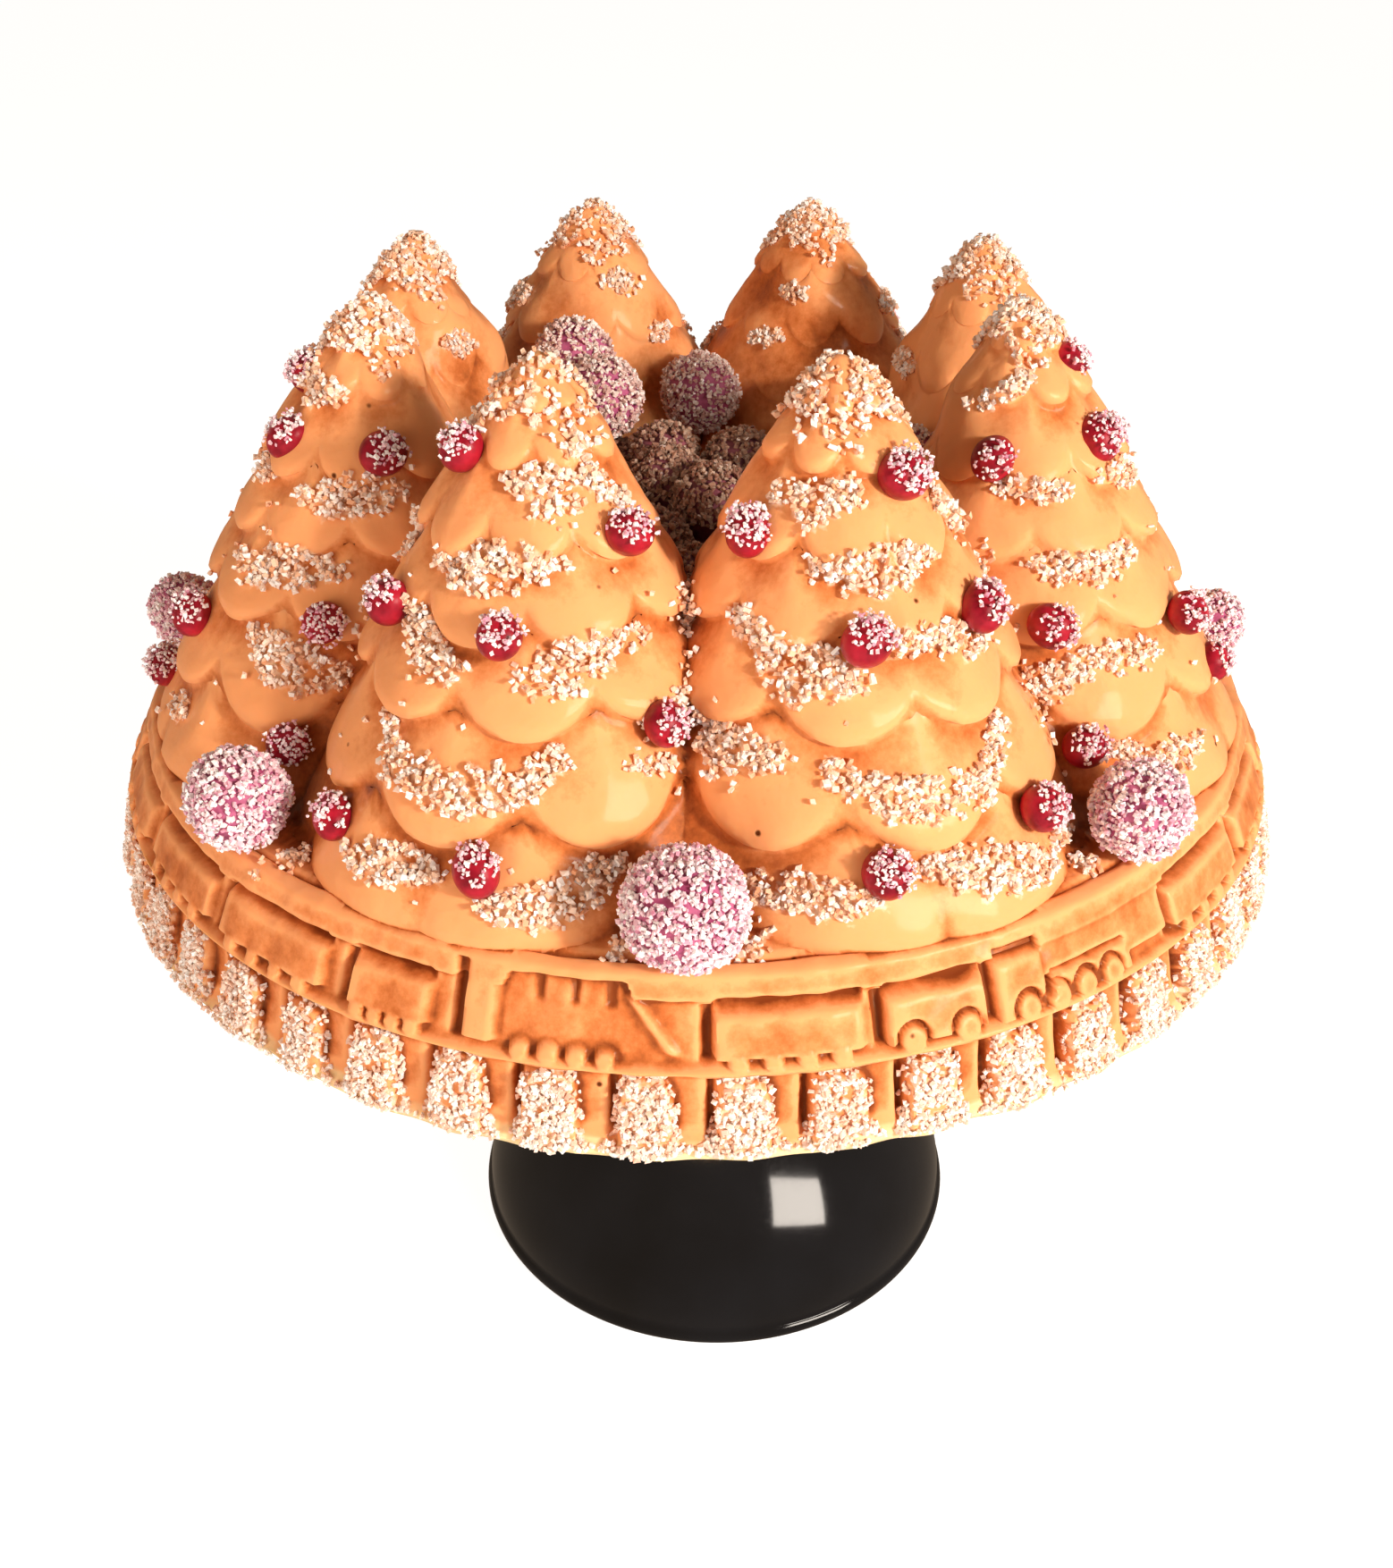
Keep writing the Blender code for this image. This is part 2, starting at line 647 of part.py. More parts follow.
def build_heap(collection):
    """Sugared berries in the hole: a core that fits it, with the top ones fused on."""
    low = STAND_HEIGHT + GAP
    slope = (HOLE_TOP_RADIUS - HOLE_FOOT_RADIUS) / HOLE_TOP_HEIGHT
    shoulder = HOLE_TOP_HEIGHT - HEAP_SHOULDER
    top = STAND_HEIGHT + HEAP_CORE_TOP
    profile = [
        (0.0, top),
        (HOLE_FOOT_RADIUS * HEAP_CORE_SHARE, top - HEAP_CORE_CROWN),
        (HOLE_FOOT_RADIUS + slope * shoulder - HEAP_CLEARANCE, STAND_HEIGHT + shoulder),
        (HOLE_FOOT_RADIUS - HEAP_CLEARANCE, low),
        (0.0, low),
    ]
    heap = turned("berry_heap", profile, HEAP_STEPS, collection)
    heap.data = evaluated_mesh(heap)
    heap.modifiers.clear()
    helpers = make_collection("heap_balls")
    for index, (bearing, distance, height, radius) in enumerate(HEAP_BERRIES):
        bm = bmesh.new()
        bmesh.ops.create_uvsphere(bm, u_segments=7, v_segments=5, radius=radius)
        turn = Matrix.Rotation(math.radians(HEAP_BERRY_TURN * index), 4, "X")
        place = Matrix.Translation(around(math.radians(bearing), distance, height))
        bmesh.ops.transform(bm, matrix=place @ turn, verts=bm.verts)
        object_from(bm, f"heap_berry_{index}", helpers)
    join_all(heap, helpers, "MANIFOLD")
    heap.data.materials.clear()
    heap.data.materials.append(make_material("berry_heap"))
    shade(heap)
    return heap


# Stand

def stand_profile():
    """The plate, the stem that widens towards it, and the domed foot, from the top down."""
    top = STAND_HEIGHT - GAP
    points = [
        (0.0, top),
        (PLATE_RADIUS - PLATE_CHAMFER, top),
        (PLATE_RADIUS, top - PLATE_CHAMFER),
        (PLATE_RADIUS - PLATE_UNDERCUT[0], top - PLATE_THICKNESS),
    ]
    flare_top = top - PLATE_THICKNESS - PLATE_UNDERCUT[1]
    for step in range(FLARE_STEPS + 1):
        share = step / FLARE_STEPS
        radius = STEM_RADIUS + (FLARE_RADIUS - STEM_RADIUS) * (1.0 - share) ** FLARE_POWER
        points.append((radius, flare_top + (STEM_TOP - flare_top) * share))
    for step in range(DOME_STEPS + 1):
        share = step / DOME_STEPS
        radius = STEM_RADIUS + (FOOT_RADIUS - STEM_RADIUS) * math.sin(0.5 * math.pi * share) ** DOME_POWER
        points.append((radius, DOME_HEIGHT + (FOOT_EDGE - DOME_HEIGHT) * share))
    points += [
        (FOOT_RADIUS - FOOT_CHAMFER, 0.0),
        (FOOT_RADIUS - FOOT_RECESS_EDGE[0], 0.0),
        (FOOT_RADIUS - FOOT_RECESS_EDGE[1], FOOT_RECESS),
        (0.0, FOOT_RECESS),
    ]
    return points


def build_stand(collection):
    stand = turned("stand", stand_profile(), STAND_STEPS, collection, make_material("stand"))
    stand.data = evaluated_mesh(stand)
    stand.modifiers.clear()
    stand.data.transform(Matrix.Translation((STAND_SHIFT, 0.0, 0.0)))
    shade(stand)


def main():
    clear_scene()
    parts = make_collection("bundt_cake")
    build_stand(parts)
    cake = build_cake(parts)
    heap = build_heap(parts)
    build_big_berries(cake, heap, parts)
    build_red_berries(cake, parts)


main()
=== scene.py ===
import json
import math

import bpy
import numpy as np
from mathutils import Matrix, Vector
from mathutils.bvhtree import BVHTree
from mathutils.kdtree import KDTree

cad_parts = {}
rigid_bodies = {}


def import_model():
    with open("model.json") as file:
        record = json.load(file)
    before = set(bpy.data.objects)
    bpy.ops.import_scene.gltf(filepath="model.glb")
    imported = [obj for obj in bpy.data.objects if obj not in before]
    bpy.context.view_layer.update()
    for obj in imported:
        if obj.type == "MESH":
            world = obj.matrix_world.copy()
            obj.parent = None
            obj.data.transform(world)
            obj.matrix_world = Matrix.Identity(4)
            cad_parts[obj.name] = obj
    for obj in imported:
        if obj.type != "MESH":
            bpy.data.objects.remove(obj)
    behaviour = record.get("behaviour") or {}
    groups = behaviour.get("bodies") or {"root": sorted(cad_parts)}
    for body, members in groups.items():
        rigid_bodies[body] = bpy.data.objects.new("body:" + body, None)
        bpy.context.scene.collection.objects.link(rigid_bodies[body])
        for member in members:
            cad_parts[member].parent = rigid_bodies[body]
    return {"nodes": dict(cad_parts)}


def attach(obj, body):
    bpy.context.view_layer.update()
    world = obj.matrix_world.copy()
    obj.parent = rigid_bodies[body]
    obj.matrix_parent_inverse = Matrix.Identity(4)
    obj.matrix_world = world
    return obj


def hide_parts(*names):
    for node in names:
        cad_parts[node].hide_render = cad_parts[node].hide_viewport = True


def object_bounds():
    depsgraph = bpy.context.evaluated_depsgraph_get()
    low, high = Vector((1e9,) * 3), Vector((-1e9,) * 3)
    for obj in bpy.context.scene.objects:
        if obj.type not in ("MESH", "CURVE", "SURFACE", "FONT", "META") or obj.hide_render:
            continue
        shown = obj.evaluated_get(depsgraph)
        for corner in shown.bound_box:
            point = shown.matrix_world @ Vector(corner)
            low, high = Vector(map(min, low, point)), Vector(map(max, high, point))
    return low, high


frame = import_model()
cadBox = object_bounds()
chance = np.random.default_rng(24)
standHeight = 0.1284  # table to the underside of the cake


def linear(code):  # sRGB hex to the linear colour that a socket takes
    values = [int(code[i:i + 2], 16) / 255.0 for i in (1, 3, 5)]
    return tuple(v / 12.92 if v <= 0.04045 else ((v + 0.055) / 1.055) ** 2.4 for v in values) + (1.0,)


def towards(bearing):
    return np.stack([np.sin(bearing), -np.cos(bearing), np.zeros_like(bearing)], -1)


def around(bearing, radius, height):
    point = towards(bearing) * np.asarray(radius)[..., None]
    point[..., 2] = standHeight + height
    return point


def unit(vectors):
    return vectors / np.linalg.norm(vectors, axis=1)[:, None]


def ease(value):
    value = np.clip(value, 0.0, 1.0)
    return value * value * (3.0 - 2.0 * value)


def within(value, low, high, soft):
    # 1 between two limits and 0 outside, with soft edges
    return ease((value - low) / soft + 0.5) * ease((high - value) / soft + 0.5)


def waves(points, size, seed):
    # smooth unevenness between -1 and 1, about one swell for each size
    draw = np.random.default_rng(seed)
    total = np.zeros(len(points))
    for step in range(6):
        direction = draw.normal(size=3)
        direction /= np.linalg.norm(direction)
        total += np.sin(points @ direction * (math.tau / size * (0.6 + 0.16 * step)) + draw.uniform(0, 6.3))
    return total / 3.0


def meshOf(name, points, faces):
    mesh = bpy.data.meshes.new(name)
    mesh.from_pydata(np.asarray(points).reshape(-1, 3).tolist(), [], faces)
    mesh.validate()
    return mesh


def pointsOf(mesh, kind="co"):  # or "normal"
    values = np.empty(len(mesh.vertices) * 3)
    mesh.vertices.foreach_get(kind, values)
    return values.reshape(-1, 3)


def gridFaces(rows, columns, start=0, closed=False):
    # quads between rows of a grid that goes all the way round
    faces = []
    for row in range(rows if closed else rows - 1):
        low = start + row * columns
        high = start + ((row + 1) % rows) * columns
        for column in range(columns):
            after = (column + 1) % columns
            faces.append((low + column, high + column, high + after, low + after))
    return faces


def turnedMesh(name, profile, columns, shift=0.0):
    # a profile of radii and heights, turned round the axis and closed at both ends
    angles = np.arange(columns) * math.tau / columns
    points = np.concatenate([around(angles, radius, height) for radius, height in profile])
    faces = gridFaces(len(profile), columns)
    faces.append(tuple(range(columns)))
    faces.append(tuple(range(len(points) - 1, len(points) - columns - 1, -1)))
    return meshOf(name, points + (shift, 0.0, 0.0), faces)


def newObject(name, data):
    item = bpy.data.objects.new(name, data)
    bpy.context.scene.collection.objects.link(item)
    return item


def facing(place, aim):  # turn of a camera or lamp that looks from one point at another
    return (Vector(aim) - Vector(place)).to_track_quat("-Z", "Y")


def pieceOf(name, mesh, material, replaced=()):
    piece = newObject(name, mesh)
    mesh.materials.clear()
    mesh.materials.append(material)
    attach(piece, "root")
    if replaced:
        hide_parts(*replaced)


def connect(material, node, inputs):
    # an output is linked to its socket, and anything else is set as its value
    for key, value in inputs.items():
        if isinstance(value, bpy.types.NodeSocket):
            material.node_tree.links.new(value, node.inputs[key])
        else:
            node.inputs[key].default_value = value


def addNode(material, kind, settings=None, inputs=None):
    node = material.node_tree.nodes.new("ShaderNode" + kind)
    for key, value in (settings or {}).items():
        if key != "stops":
            setattr(node, key, value)
            continue
        elements = node.color_ramp.elements  # stops are places with a colour or a level
        while len(elements) < len(value):
            elements.new(0.5)
        for element, (place, colour) in zip(elements, value):
            element.position = place
            element.color = linear(colour) if isinstance(colour, str) else (colour, colour, colour, 1.0)
    connect(material, node, inputs or {})
    return node


def newMaterial(name):
    material = bpy.data.materials.new(name)
    material.use_nodes = True
    material.node_tree.nodes.clear()
    shader = addNode(material, "BsdfPrincipled")
    output = addNode(material, "OutputMaterial", inputs={"Surface": shader.outputs["BSDF"]})
    output.is_active_output = True
    return material, shader


# Camera at the photograph's viewing angle
view = {"place": (0.0066, -0.3227, 0.3212), "aim": (0.0, 0.0, 0.1235), "lens": 36.45}
cameraData = bpy.data.cameras.new("camera")
cameraData.sensor_fit = "VERTICAL"
cameraData.sensor_height = 36.0
cameraData.lens = view["lens"]
cameraData.clip_start = 0.01
camera = newObject("camera", cameraData)
camera.location = view["place"]
camera.rotation_euler = facing(view["place"], view["aim"]).to_euler()
bpy.context.scene.camera = camera
print("camera set")


# Materials

# Cake crust baked against an oiled tin: smooth, glossy and translucent, with small air holes and a cream,
# underbaked lip at the rim. Its colour carries painted light, paler on the bulges, and painted shade in the
# creases
crust = {
    # bulge is painted light, shadow and deep are painted shade, body is the crust's own colour
    "bulge": "#EFAA78", "body": "#D98A57", "shadow": "#BE6C3B", "deep": "#864322",
    "airHoleShade": "#5A2A10", "rim": "#F3DDB4", "dust": "#F9DECB", "sheen": "#FFE2A8",
    # mottle, freckles, crumb grain and unevenness: size of a patch in metres, detail and roughness
    "patterns": ((0.014, 4.0, 0.6), (0.0018, 3.0, 0.7), (0.0011, 3.0, 0.5), (0.0045, 2.0, 0.5)),
    "holeSpacing": 0.0065, "holeShare": 0.20,  # one cell in five has an air hole
}


def bakedCrust():
    material, shader = newMaterial("baked_crust")
    place = addNode(material, "TexCoord").outputs["Object"]
    hollow, rim, dust = (addNode(material, "Attribute", {"attribute_name": name}).outputs["Fac"]
                         for name in ("hollow", "rim", "dust"))
    mottle, freckle, grain, uneven = (
        addNode(material, "TexNoise", inputs={
            "Vector": place, "Scale": 1.0 / size, "Detail": detail, "Roughness": roughness}).outputs["Fac"]
        for size, detail, roughness in crust["patterns"])
    lifted = addNode(material, "Math", {"operation": "MULTIPLY_ADD"}, {0: mottle, 1: -0.8, 2: 0.15})
    freckled = addNode(material, "Math", {"operation": "MULTIPLY_ADD"}, {
        0: freckle, 1: 0.5, 2: lifted.outputs[0]})
    # the crust's own mottle and freckles, added to the painted shade in hollows and painted light on bulges
    toneAndShade = addNode(material, "Math", {"operation": "ADD"}, {0: hollow, 1: freckled.outputs[0]})
    colour = addNode(material, "ValToRGB", {"stops": [
        (0.18, crust["bulge"]), (0.46, crust["body"]), (0.66, crust["shadow"]), (0.92, crust["deep"])]},
        {"Fac": toneAndShade.outputs[0]}).outputs["Color"]
    # air holes: one small pit in a few of the cells, painted dark as painted shade inside it
    cells = addNode(material, "TexVoronoi", inputs={"Vector": place, "Scale": 1.0 / crust["holeSpacing"]})
    chosen = addNode(material, "SeparateColor", inputs={"Color": cells.outputs["Color"]}).outputs[0]
    rare = addNode(material, "Math", {"operation": "GREATER_THAN"}, {0: chosen, 1: 1.0 - crust["holeShare"]})
    pit = addNode(material, "ValToRGB", {"stops": [(0.05, 1.0), (0.10, 0.0)]}, {
        "Fac": cells.outputs["Distance"]}).outputs["Color"]
    hole = addNode(material, "Math", {"operation": "MULTIPLY"}, {0: pit, 1: rare.outputs[0]}).outputs[0]
    # fine sugar left between the grains, in patches
    patchy = addNode(material, "Math", {"operation": "MULTIPLY_ADD"}, {0: grain, 1: 1.6, 2: -0.8})
    dusty = addNode(material, "Math", {"operation": "ADD"}, {0: dust, 1: patchy.outputs[0]})
    dustShare = addNode(material, "ValToRGB", {"stops": [(0.40, 0.0), (0.95, 0.85)]}, {
        "Fac": dusty.outputs[0]}).outputs["Color"]
    for share, layer in ((hole, "airHoleShade"), (rim, "rim"), (dustShare, "dust")):
        colour = addNode(material, "Mix", {"data_type": "RGBA"}, {
            0: share, 6: colour, 7: linear(crust[layer])}).outputs[2]
    relief = addNode(material, "Math", {"operation": "MULTIPLY_ADD"}, {0: grain, 1: 0.12, 2: uneven})
    pitted = addNode(material, "Math", {"operation": "SUBTRACT"}, {0: relief.outputs[0], 1: hole})
    bump = addNode(material, "Bump", inputs={
        "Strength": 0.45, "Distance": 0.0006, "Height": pitted.outputs[0]})
    rough = addNode(material, "ValToRGB", {"stops": [(0.3, 0.36), (0.75, 0.52)]}, {"Fac": mottle})
    connect(material, shader, {
        "Base Color": colour, "Normal": bump.outputs["Normal"], "Roughness": rough.outputs["Color"],
        "IOR": 1.45, "Specular Tint": linear(crust["sheen"]),
        "Coat Weight": 0.30, "Coat Roughness": 0.14, "Coat Tint": linear(crust["sheen"]),
        "Subsurface Weight": 0.22, "Subsurface Radius": (1.0, 0.42, 0.16), "Subsurface Scale": 0.004})
    return material


# Coarse sanding sugar: clear broken crystals about a millimetre long that read white and glint at their flat
# faces.
# Their tints are painted light: the warm or pink light from what they lie on, painted into their colour
def sandingSugar(name, tints, cloud=0.3, depth=0.0008):
    material, shader = newMaterial(name)
    tint = addNode(material, "Attribute", {"attribute_name": "tint"}).outputs["Fac"]
    colour = addNode(material, "ValToRGB", {"stops": tints}, {"Fac": tint}).outputs["Color"]
    connect(material, shader, {
        "Base Color": colour, "IOR": 1.54, "Roughness": 0.22,
        "Subsurface Weight": cloud, "Subsurface Radius": (1.0, 0.8, 0.7), "Subsurface Scale": depth})
    return material


# Berry skin: thin, tight and waxy, so a deep blotched colour with a soft bright spot
skinPatterns = {"blotch": 0.004, "grain": 0.0007}  # sizes in metres


def berrySkin(name, dark, bright, roughness):
    material, shader = newMaterial(name)
    place = addNode(material, "TexCoord").outputs["Object"]
    blotch = addNode(material, "TexNoise", inputs={
        "Vector": place, "Scale": 1.0 / skinPatterns["blotch"], "Detail": 3.0, "Roughness": 0.55})
    colour = addNode(material, "ValToRGB", {"stops": [(0.32, dark), (0.68, bright)]}, {
        "Fac": blotch.outputs["Fac"]})
    fineGrain = addNode(material, "TexNoise", inputs={"Vector": place, "Scale": 1.0 / skinPatterns["grain"]})
    bump = addNode(material, "Bump", inputs={
        "Strength": 0.2, "Distance": 0.0002, "Height": fineGrain.outputs["Fac"]})
    connect(material, shader, {
        "Base Color": colour.outputs["Color"], "Normal": bump.outputs["Normal"],
        "IOR": 1.42, "Roughness": roughness, "Coat Weight": 0.06, "Coat Roughness": 0.2,
        "Subsurface Weight": 0.12, "Subsurface Radius": (1.0, 0.15, 0.12), "Subsurface Scale": 0.002})
    return material


# Black glazed stoneware: a thick fired glaze over a turned foot, so sharp reflections on near black
glazePatterns = {"pool": (0.030, 3.0), "ripple": (0.018, 1.0), "dust": (0.0009, 2.0)}  # metres and detail


def blackGlaze():
    material, shader = newMaterial("black_glazed_stoneware")
    place = addNode(material, "TexCoord").outputs["Object"]
    pool, ripple, dust = (
        addNode(material, "TexNoise", inputs={
            "Vector": place, "Scale": 1.0 / size, "Detail": detail}).outputs["Fac"]
        for size, detail in glazePatterns.values())
    colour = addNode(material, "ValToRGB", {"stops": [(0.3, "#08080A"), (0.7, "#121317")]}, {"Fac": pool})
    bump = addNode(material, "Bump", inputs={"Strength": 0.12, "Distance": 0.0006, "Height": ripple})
    rough = addNode(material, "ValToRGB", {"stops": [(0.45, 0.09), (0.8, 0.14)]}, {"Fac": dust})
    connect(material, shader, {
        "Base Color": colour.outputs["Color"], "Normal": bump.outputs["Normal"],
        "Roughness": rough.outputs["Color"], "IOR": 1.45, "Coat Weight": 0.6, "Coat Roughness": 0.06})
    return material


crustMaterial = bakedCrust()
sugarOnCake = sandingSugar("sanding_sugar_on_crust", [
    (0.0, "#E8A67C"), (0.35, "#F6CFB4"), (0.7, "#FDECE0"), (1.0, "#FFFFFF")])
sugarOnRim = sandingSugar("sanding_sugar_on_rim", [
    (0.0, "#EAB9A0"), (0.35, "#F7D8C8"), (0.7, "#FDEFE4"), (1.0, "#FFFFFF")])
sugarOnBerries = sandingSugar("sanding_sugar_on_berries", [
    (0.0, "#D58FA8"), (0.3, "#ECC3CE"), (0.6, "#FAE8EB"), (1.0, "#FFFFFF")])
# sugar deep in the hole lies in dim brown light, painted into it as painted shade, so it looks dull and dark
shadedSugar = sandingSugar("sanding_sugar_in_painted_shade", [
    (0.0, "#8C6152"), (0.4, "#A37C69"), (0.75, "#B58F7B"), (1.0, "#CDAE9A")], 0.6, 0.0015)
# and on the berries above the heap it is painted a little darker than on the ledge, as painted shade
dimBerrySugar = sandingSugar("sanding_sugar_on_dim_berries", [
    (0.0, "#C6958F"), (0.4, "#E4C4BC"), (0.75, "#F6E2DA"), (1.0, "#FFF8F2")])
redSkin = berrySkin("red_berry_skin", "#72061A", "#AC182E", 0.36)
purpleSkin = berrySkin("purple_berry_skin", "#8E345C", "#C66E93", 0.5)
# the heap's skin is painted darker and duller than the other berries', as painted shade in the hole
shadedSkin = berrySkin("berry_skin_in_painted_shade", "#6A3440", "#9C5A66", 0.5)
glaze = blackGlaze()
print("materials made")


# The trees, from the same shapes as the solids but with many more rows and columns
tree = {
    "count": 8, "height": 0.1162, "tipRadius": 0.0653, "footRadius": 0.0718,
    "footHalfWidth": 0.0448, "taper": 0.72, "lobes": 8, "innerFlatness": 0.14,
    "lows": (0.1086, 0.1004, 0.0865, 0.0748, 0.0618, 0.0449, 0.0300),
    "arches": (0.0016, 0.0034, 0.0055, 0.0052, 0.0060, 0.0078, 0.0),
    "overhang": (0.0015, 0.0026),  # at the tip and at the foot
    "innerRelief": 0.12,  # share of it on the side that faces the hole
    "flankRelief": 0.85,  # and on the sides that face the next trees
    "treeShade": (0.0, -0.12, -0.30, 0.15, -0.04, 0.0, -0.08, 0.0),  # painted shade (above 0) or painted light (below 0) on each tree
    "rows": (9, 8, 10, 11, 12, 15, 12),
    "columns": 144,
}
ledge = {"radius": 0.1166, "height": 0.0312}
lobeSize = np.random.default_rng(5).uniform(-0.22, 0.30, (8, 7, 8))  # tree, tier, lobe


def treeBearing(number):
    return (number + 0.5) * math.tau / tree["count"]


def lobeShare(tier, turn):  # lobes counted round the tree. Every second tier is shifted half a lobe.
    return turn / (math.tau / tree["lobes"]) + (0.5 if tier % 2 == 0 else 0.0)


def lobePlace(tier, turn):  # -1 to 1 across a lobe, 0 at its middle
    share = lobeShare(tier, turn)
    return 2.0 * (share - np.floor(share + 0.5))


def tierEdge(tier, turn):
    if tier < 0:
        return np.full_like(turn, tree["height"])
    return tree["lows"][tier] + tree["arches"][tier] * np.abs(lobePlace(tier, turn)) ** 2.0


def coneShare(height):
    return np.clip((tree["height"] - height) / (tree["height"] - ledge["height"]), 0.0, None)


def coneRadius(height):
    return tree["footHalfWidth"] * coneShare(height) ** tree["taper"]


def innerShare(turn):
    return 1.0 - tree["innerFlatness"] * np.clip(-np.cos(turn), 0.0, None) ** 2


def axisRadius(height):
    return tree["tipRadius"] + (tree["footRadius"] - tree["tipRadius"]) * np.clip(coneShare(height), 0, 1)


def treePoint(bearing, turn, radius, height):
    centre = around(np.full_like(turn, bearing), axisRadius(height), height)
    return centre + towards(bearing + turn) * np.asarray(radius)[..., None]


# Rows down a tier: how far down, how proud the middle of a lobe stands and how much of that is lost at its
# seams. The first is a peak under the seam above it, and the last ones roll under.
tierShares = (0.0, 0.08, 0.20, 0.38, 0.58, 0.76, 0.88, 0.95, 1.0)
middleDepths = (-0.12, -0.03, 0.12, 0.42, 0.72, 0.88, 0.82, 0.60, 0.20)
seamDrops = (0.78, 0.73, 0.67, 0.62, 0.66, 0.72, 0.72, 0.60, 0.32)
lobeRounding = (1.0, 1.05, 1.2, 1.5, 1.9, 2.2, 2.4, 2.4, 2.4)


def tierRow(number, tier, turns, share):
    top = tierEdge(tier - 1, turns)
    height = top + (tierEdge(tier, turns) - top) * share
    place = np.abs(lobePlace(tier, turns))
    lobe = np.floor(lobeShare(tier, turns) + 0.5).astype(int) % tree["lobes"]
    middle, seam, power = (
        float(np.interp(share, tierShares, values)) for values in (middleDepths, seamDrops, lobeRounding))
    overhang = tree["overhang"][0] + (tree["overhang"][1] - tree["overhang"][0]) * coneShare(height)
    overhang = overhang * (1.0 - (1.0 - tree["innerRelief"]) * ease(-1.4 * np.cos(turns)))
    overhang = overhang * (1.0 - (1.0 - tree["flankRelief"]) * ease(1.0 - 2.2 * np.abs(np.cos(turns))))
    size = 1.0 + lobeSize[number, tier, lobe] * (1.0 - place ** 2) * share
    out = overhang * (middle * size - seam * place ** power)
    if tier == 0:
        out = out * share
    return treePoint(treeBearing(number), turns, coneRadius(height) * innerShare(turns) + out, height)


def treeMesh(number):
    columns = tree["columns"]
    turns = np.radians(np.arange(columns) * 360.0 / columns)
    rows = [tierRow(number, tier, turns, share) for tier, count in enumerate(tree["rows"])
            for share in np.linspace(0.12 if tier == 0 else 0.0, 0.985, count)]
    # the foot goes on into the ring
    foot = np.full_like(turns, ledge["height"] - 0.004)
    footRadius = 0.92 * coneRadius(foot + 0.004) * innerShare(turns)
    rows.append(treePoint(treeBearing(number), turns, footRadius, foot))
    tip = around(np.array([treeBearing(number)]), tree["tipRadius"], tree["height"])
    faces = [(0, 1 + column, 1 + (column + 1) % columns) for column in range(columns)]
    faces += gridFaces(len(rows), columns, 1)
    last = 1 + (len(rows) - 1) * columns
    faces.append(tuple(range(last + columns - 1, last - 1, -1)))
    return meshOf(f"tree_{number}", np.concatenate([tip] + rows), faces)


# The ring with its band: curb, train, rail, sleepers and rim. Bearings are in degrees.
band = {
    "columns": 1440, "wallRows": 54, "sleeperRows": 30,
    "railRadius": 0.1242, "railHeight": 0.0159, "rimRadius": 0.1294,
    "lipSag": 0.0018,
    "curbLow": 0.0266, "curbLowOverFlat": 0.0291,  # the smooth strip above the train, and over the flat wagon
    "seamRadius": 0.1146, "seamDepth": 0.0013,  # the crease between ledge and curb
    "seamRows": (0.1128, 0.1135, 0.1140, 0.1143, 0.1146, 0.1149, 0.1152, 0.1157, 0.1161),
    "relief": 0.0015,
    "edge": 0.0006,  # soft width of an edge
    "grooveDepth": 0.0018, "leftGroove": 0.0011, "topGroove": 0.0011,  # half widths of the grooves by a wagon
    "wagonLow": 0.0170, "wagonHigh": 0.0247,
    # first and last bearing, height of the top and how proud: a box, a post, the flat wagon and a box
    "wagons": [(-28.0, -20.5, 0.0247, 1.0), (-17.4, -14.8, 0.0291, 1.0), (-14.2, -4.2, 0.0291, 0.12),
               (2.5, 14.3, 0.0247, 1.0)],
    "flatWagon": 2,  # which of them is flat
    "bevel": 0.0018,  # soft width of a wagon's right end
    "wheels": 4, "firstWheel": 0.16, "wheelPitch": 0.225,  # their places are shares of a wagon
    "wheelRadius": 0.0016, "wheelProud": 1.15,
    "rod": ((-4.0, 0.0270), (-0.5, 0.0182)),  # slanting rod from its top to its foot
    "rodWidth": 0.0013, "rodProud": 0.8,
    "slats": (-11.4, -8.5, -5.6), "slatWidth": 0.0007, "slatHeights": (0.0248, 0.0285), "slatDepth": 0.5,
    "otherWagons": (46.2, 15.0, 19, 13.0),  # first bearing, pitch, how many, length
    # the engine's tender, cab, place over the boiler, frame and boiler: first and last bearing, foot, top,
    # how proud and how wide the grooves are against a wagon's
    "engine": [(16.2, 24.7, 0.0172, 0.0247, 1.0, 1.0), (25.9, 30.4, 0.0166, 0.0262, 1.0, 1.0),
               (30.4, 45.4, 0.0192, 0.0291, 0.75, 0.0), (30.4, 39.9, 0.0166, 0.0205, 0.75, 0.0),
               (31.1, 39.4, 0.0182, 0.0213, 0.85, 0.45)],
    "bigWheels": (18.2, 22.9, 28.6, 31.6, 34.6, 37.6),
    "bigWheelRadius": 0.0023, "bigWheelHeight": 0.0178, "bigWheelProud": 1.10,
    "sleepers": 48, "sleeperBearing": 4.8, "sleeperHalfWidth": 0.0049, "sleeperTop": 0.0138,
    "sleeperFace": 0.1285, "sleeperLean": 0.0030,  # radius at its foot, and how far it leans in
    "sleeperGroove": 0.0018,
}
hole = {"footRadius": 0.0225, "topRadius": 0.0335, "topHeight": 0.0500,
        "crestRadius": 0.0660, "crestHeight": 0.0600}
bandMm = math.degrees(0.001 / 0.1215)  # one millimetre along the band, in degrees


def wallRadius(height):
    share = (ledge["height"] - height) / (ledge["height"] - band["railHeight"])
    return ledge["radius"] + (band["railRadius"] - ledge["radius"]) * share


def turnedTo(bearing, middle):
    return (bearing - middle + 180.0) % 360.0 - 180.0


def asLength(turn):  # metres along the band
    return turn / bandMm * 0.001


def asTurn(length):  # and back to degrees
    return length / 0.001 * bandMm


def placeOn(bearing, low, high):  # degrees from the middle of a part, and half of the part's length
    return turnedTo(bearing, 0.5 * (low + high)), 0.5 * (high - low)


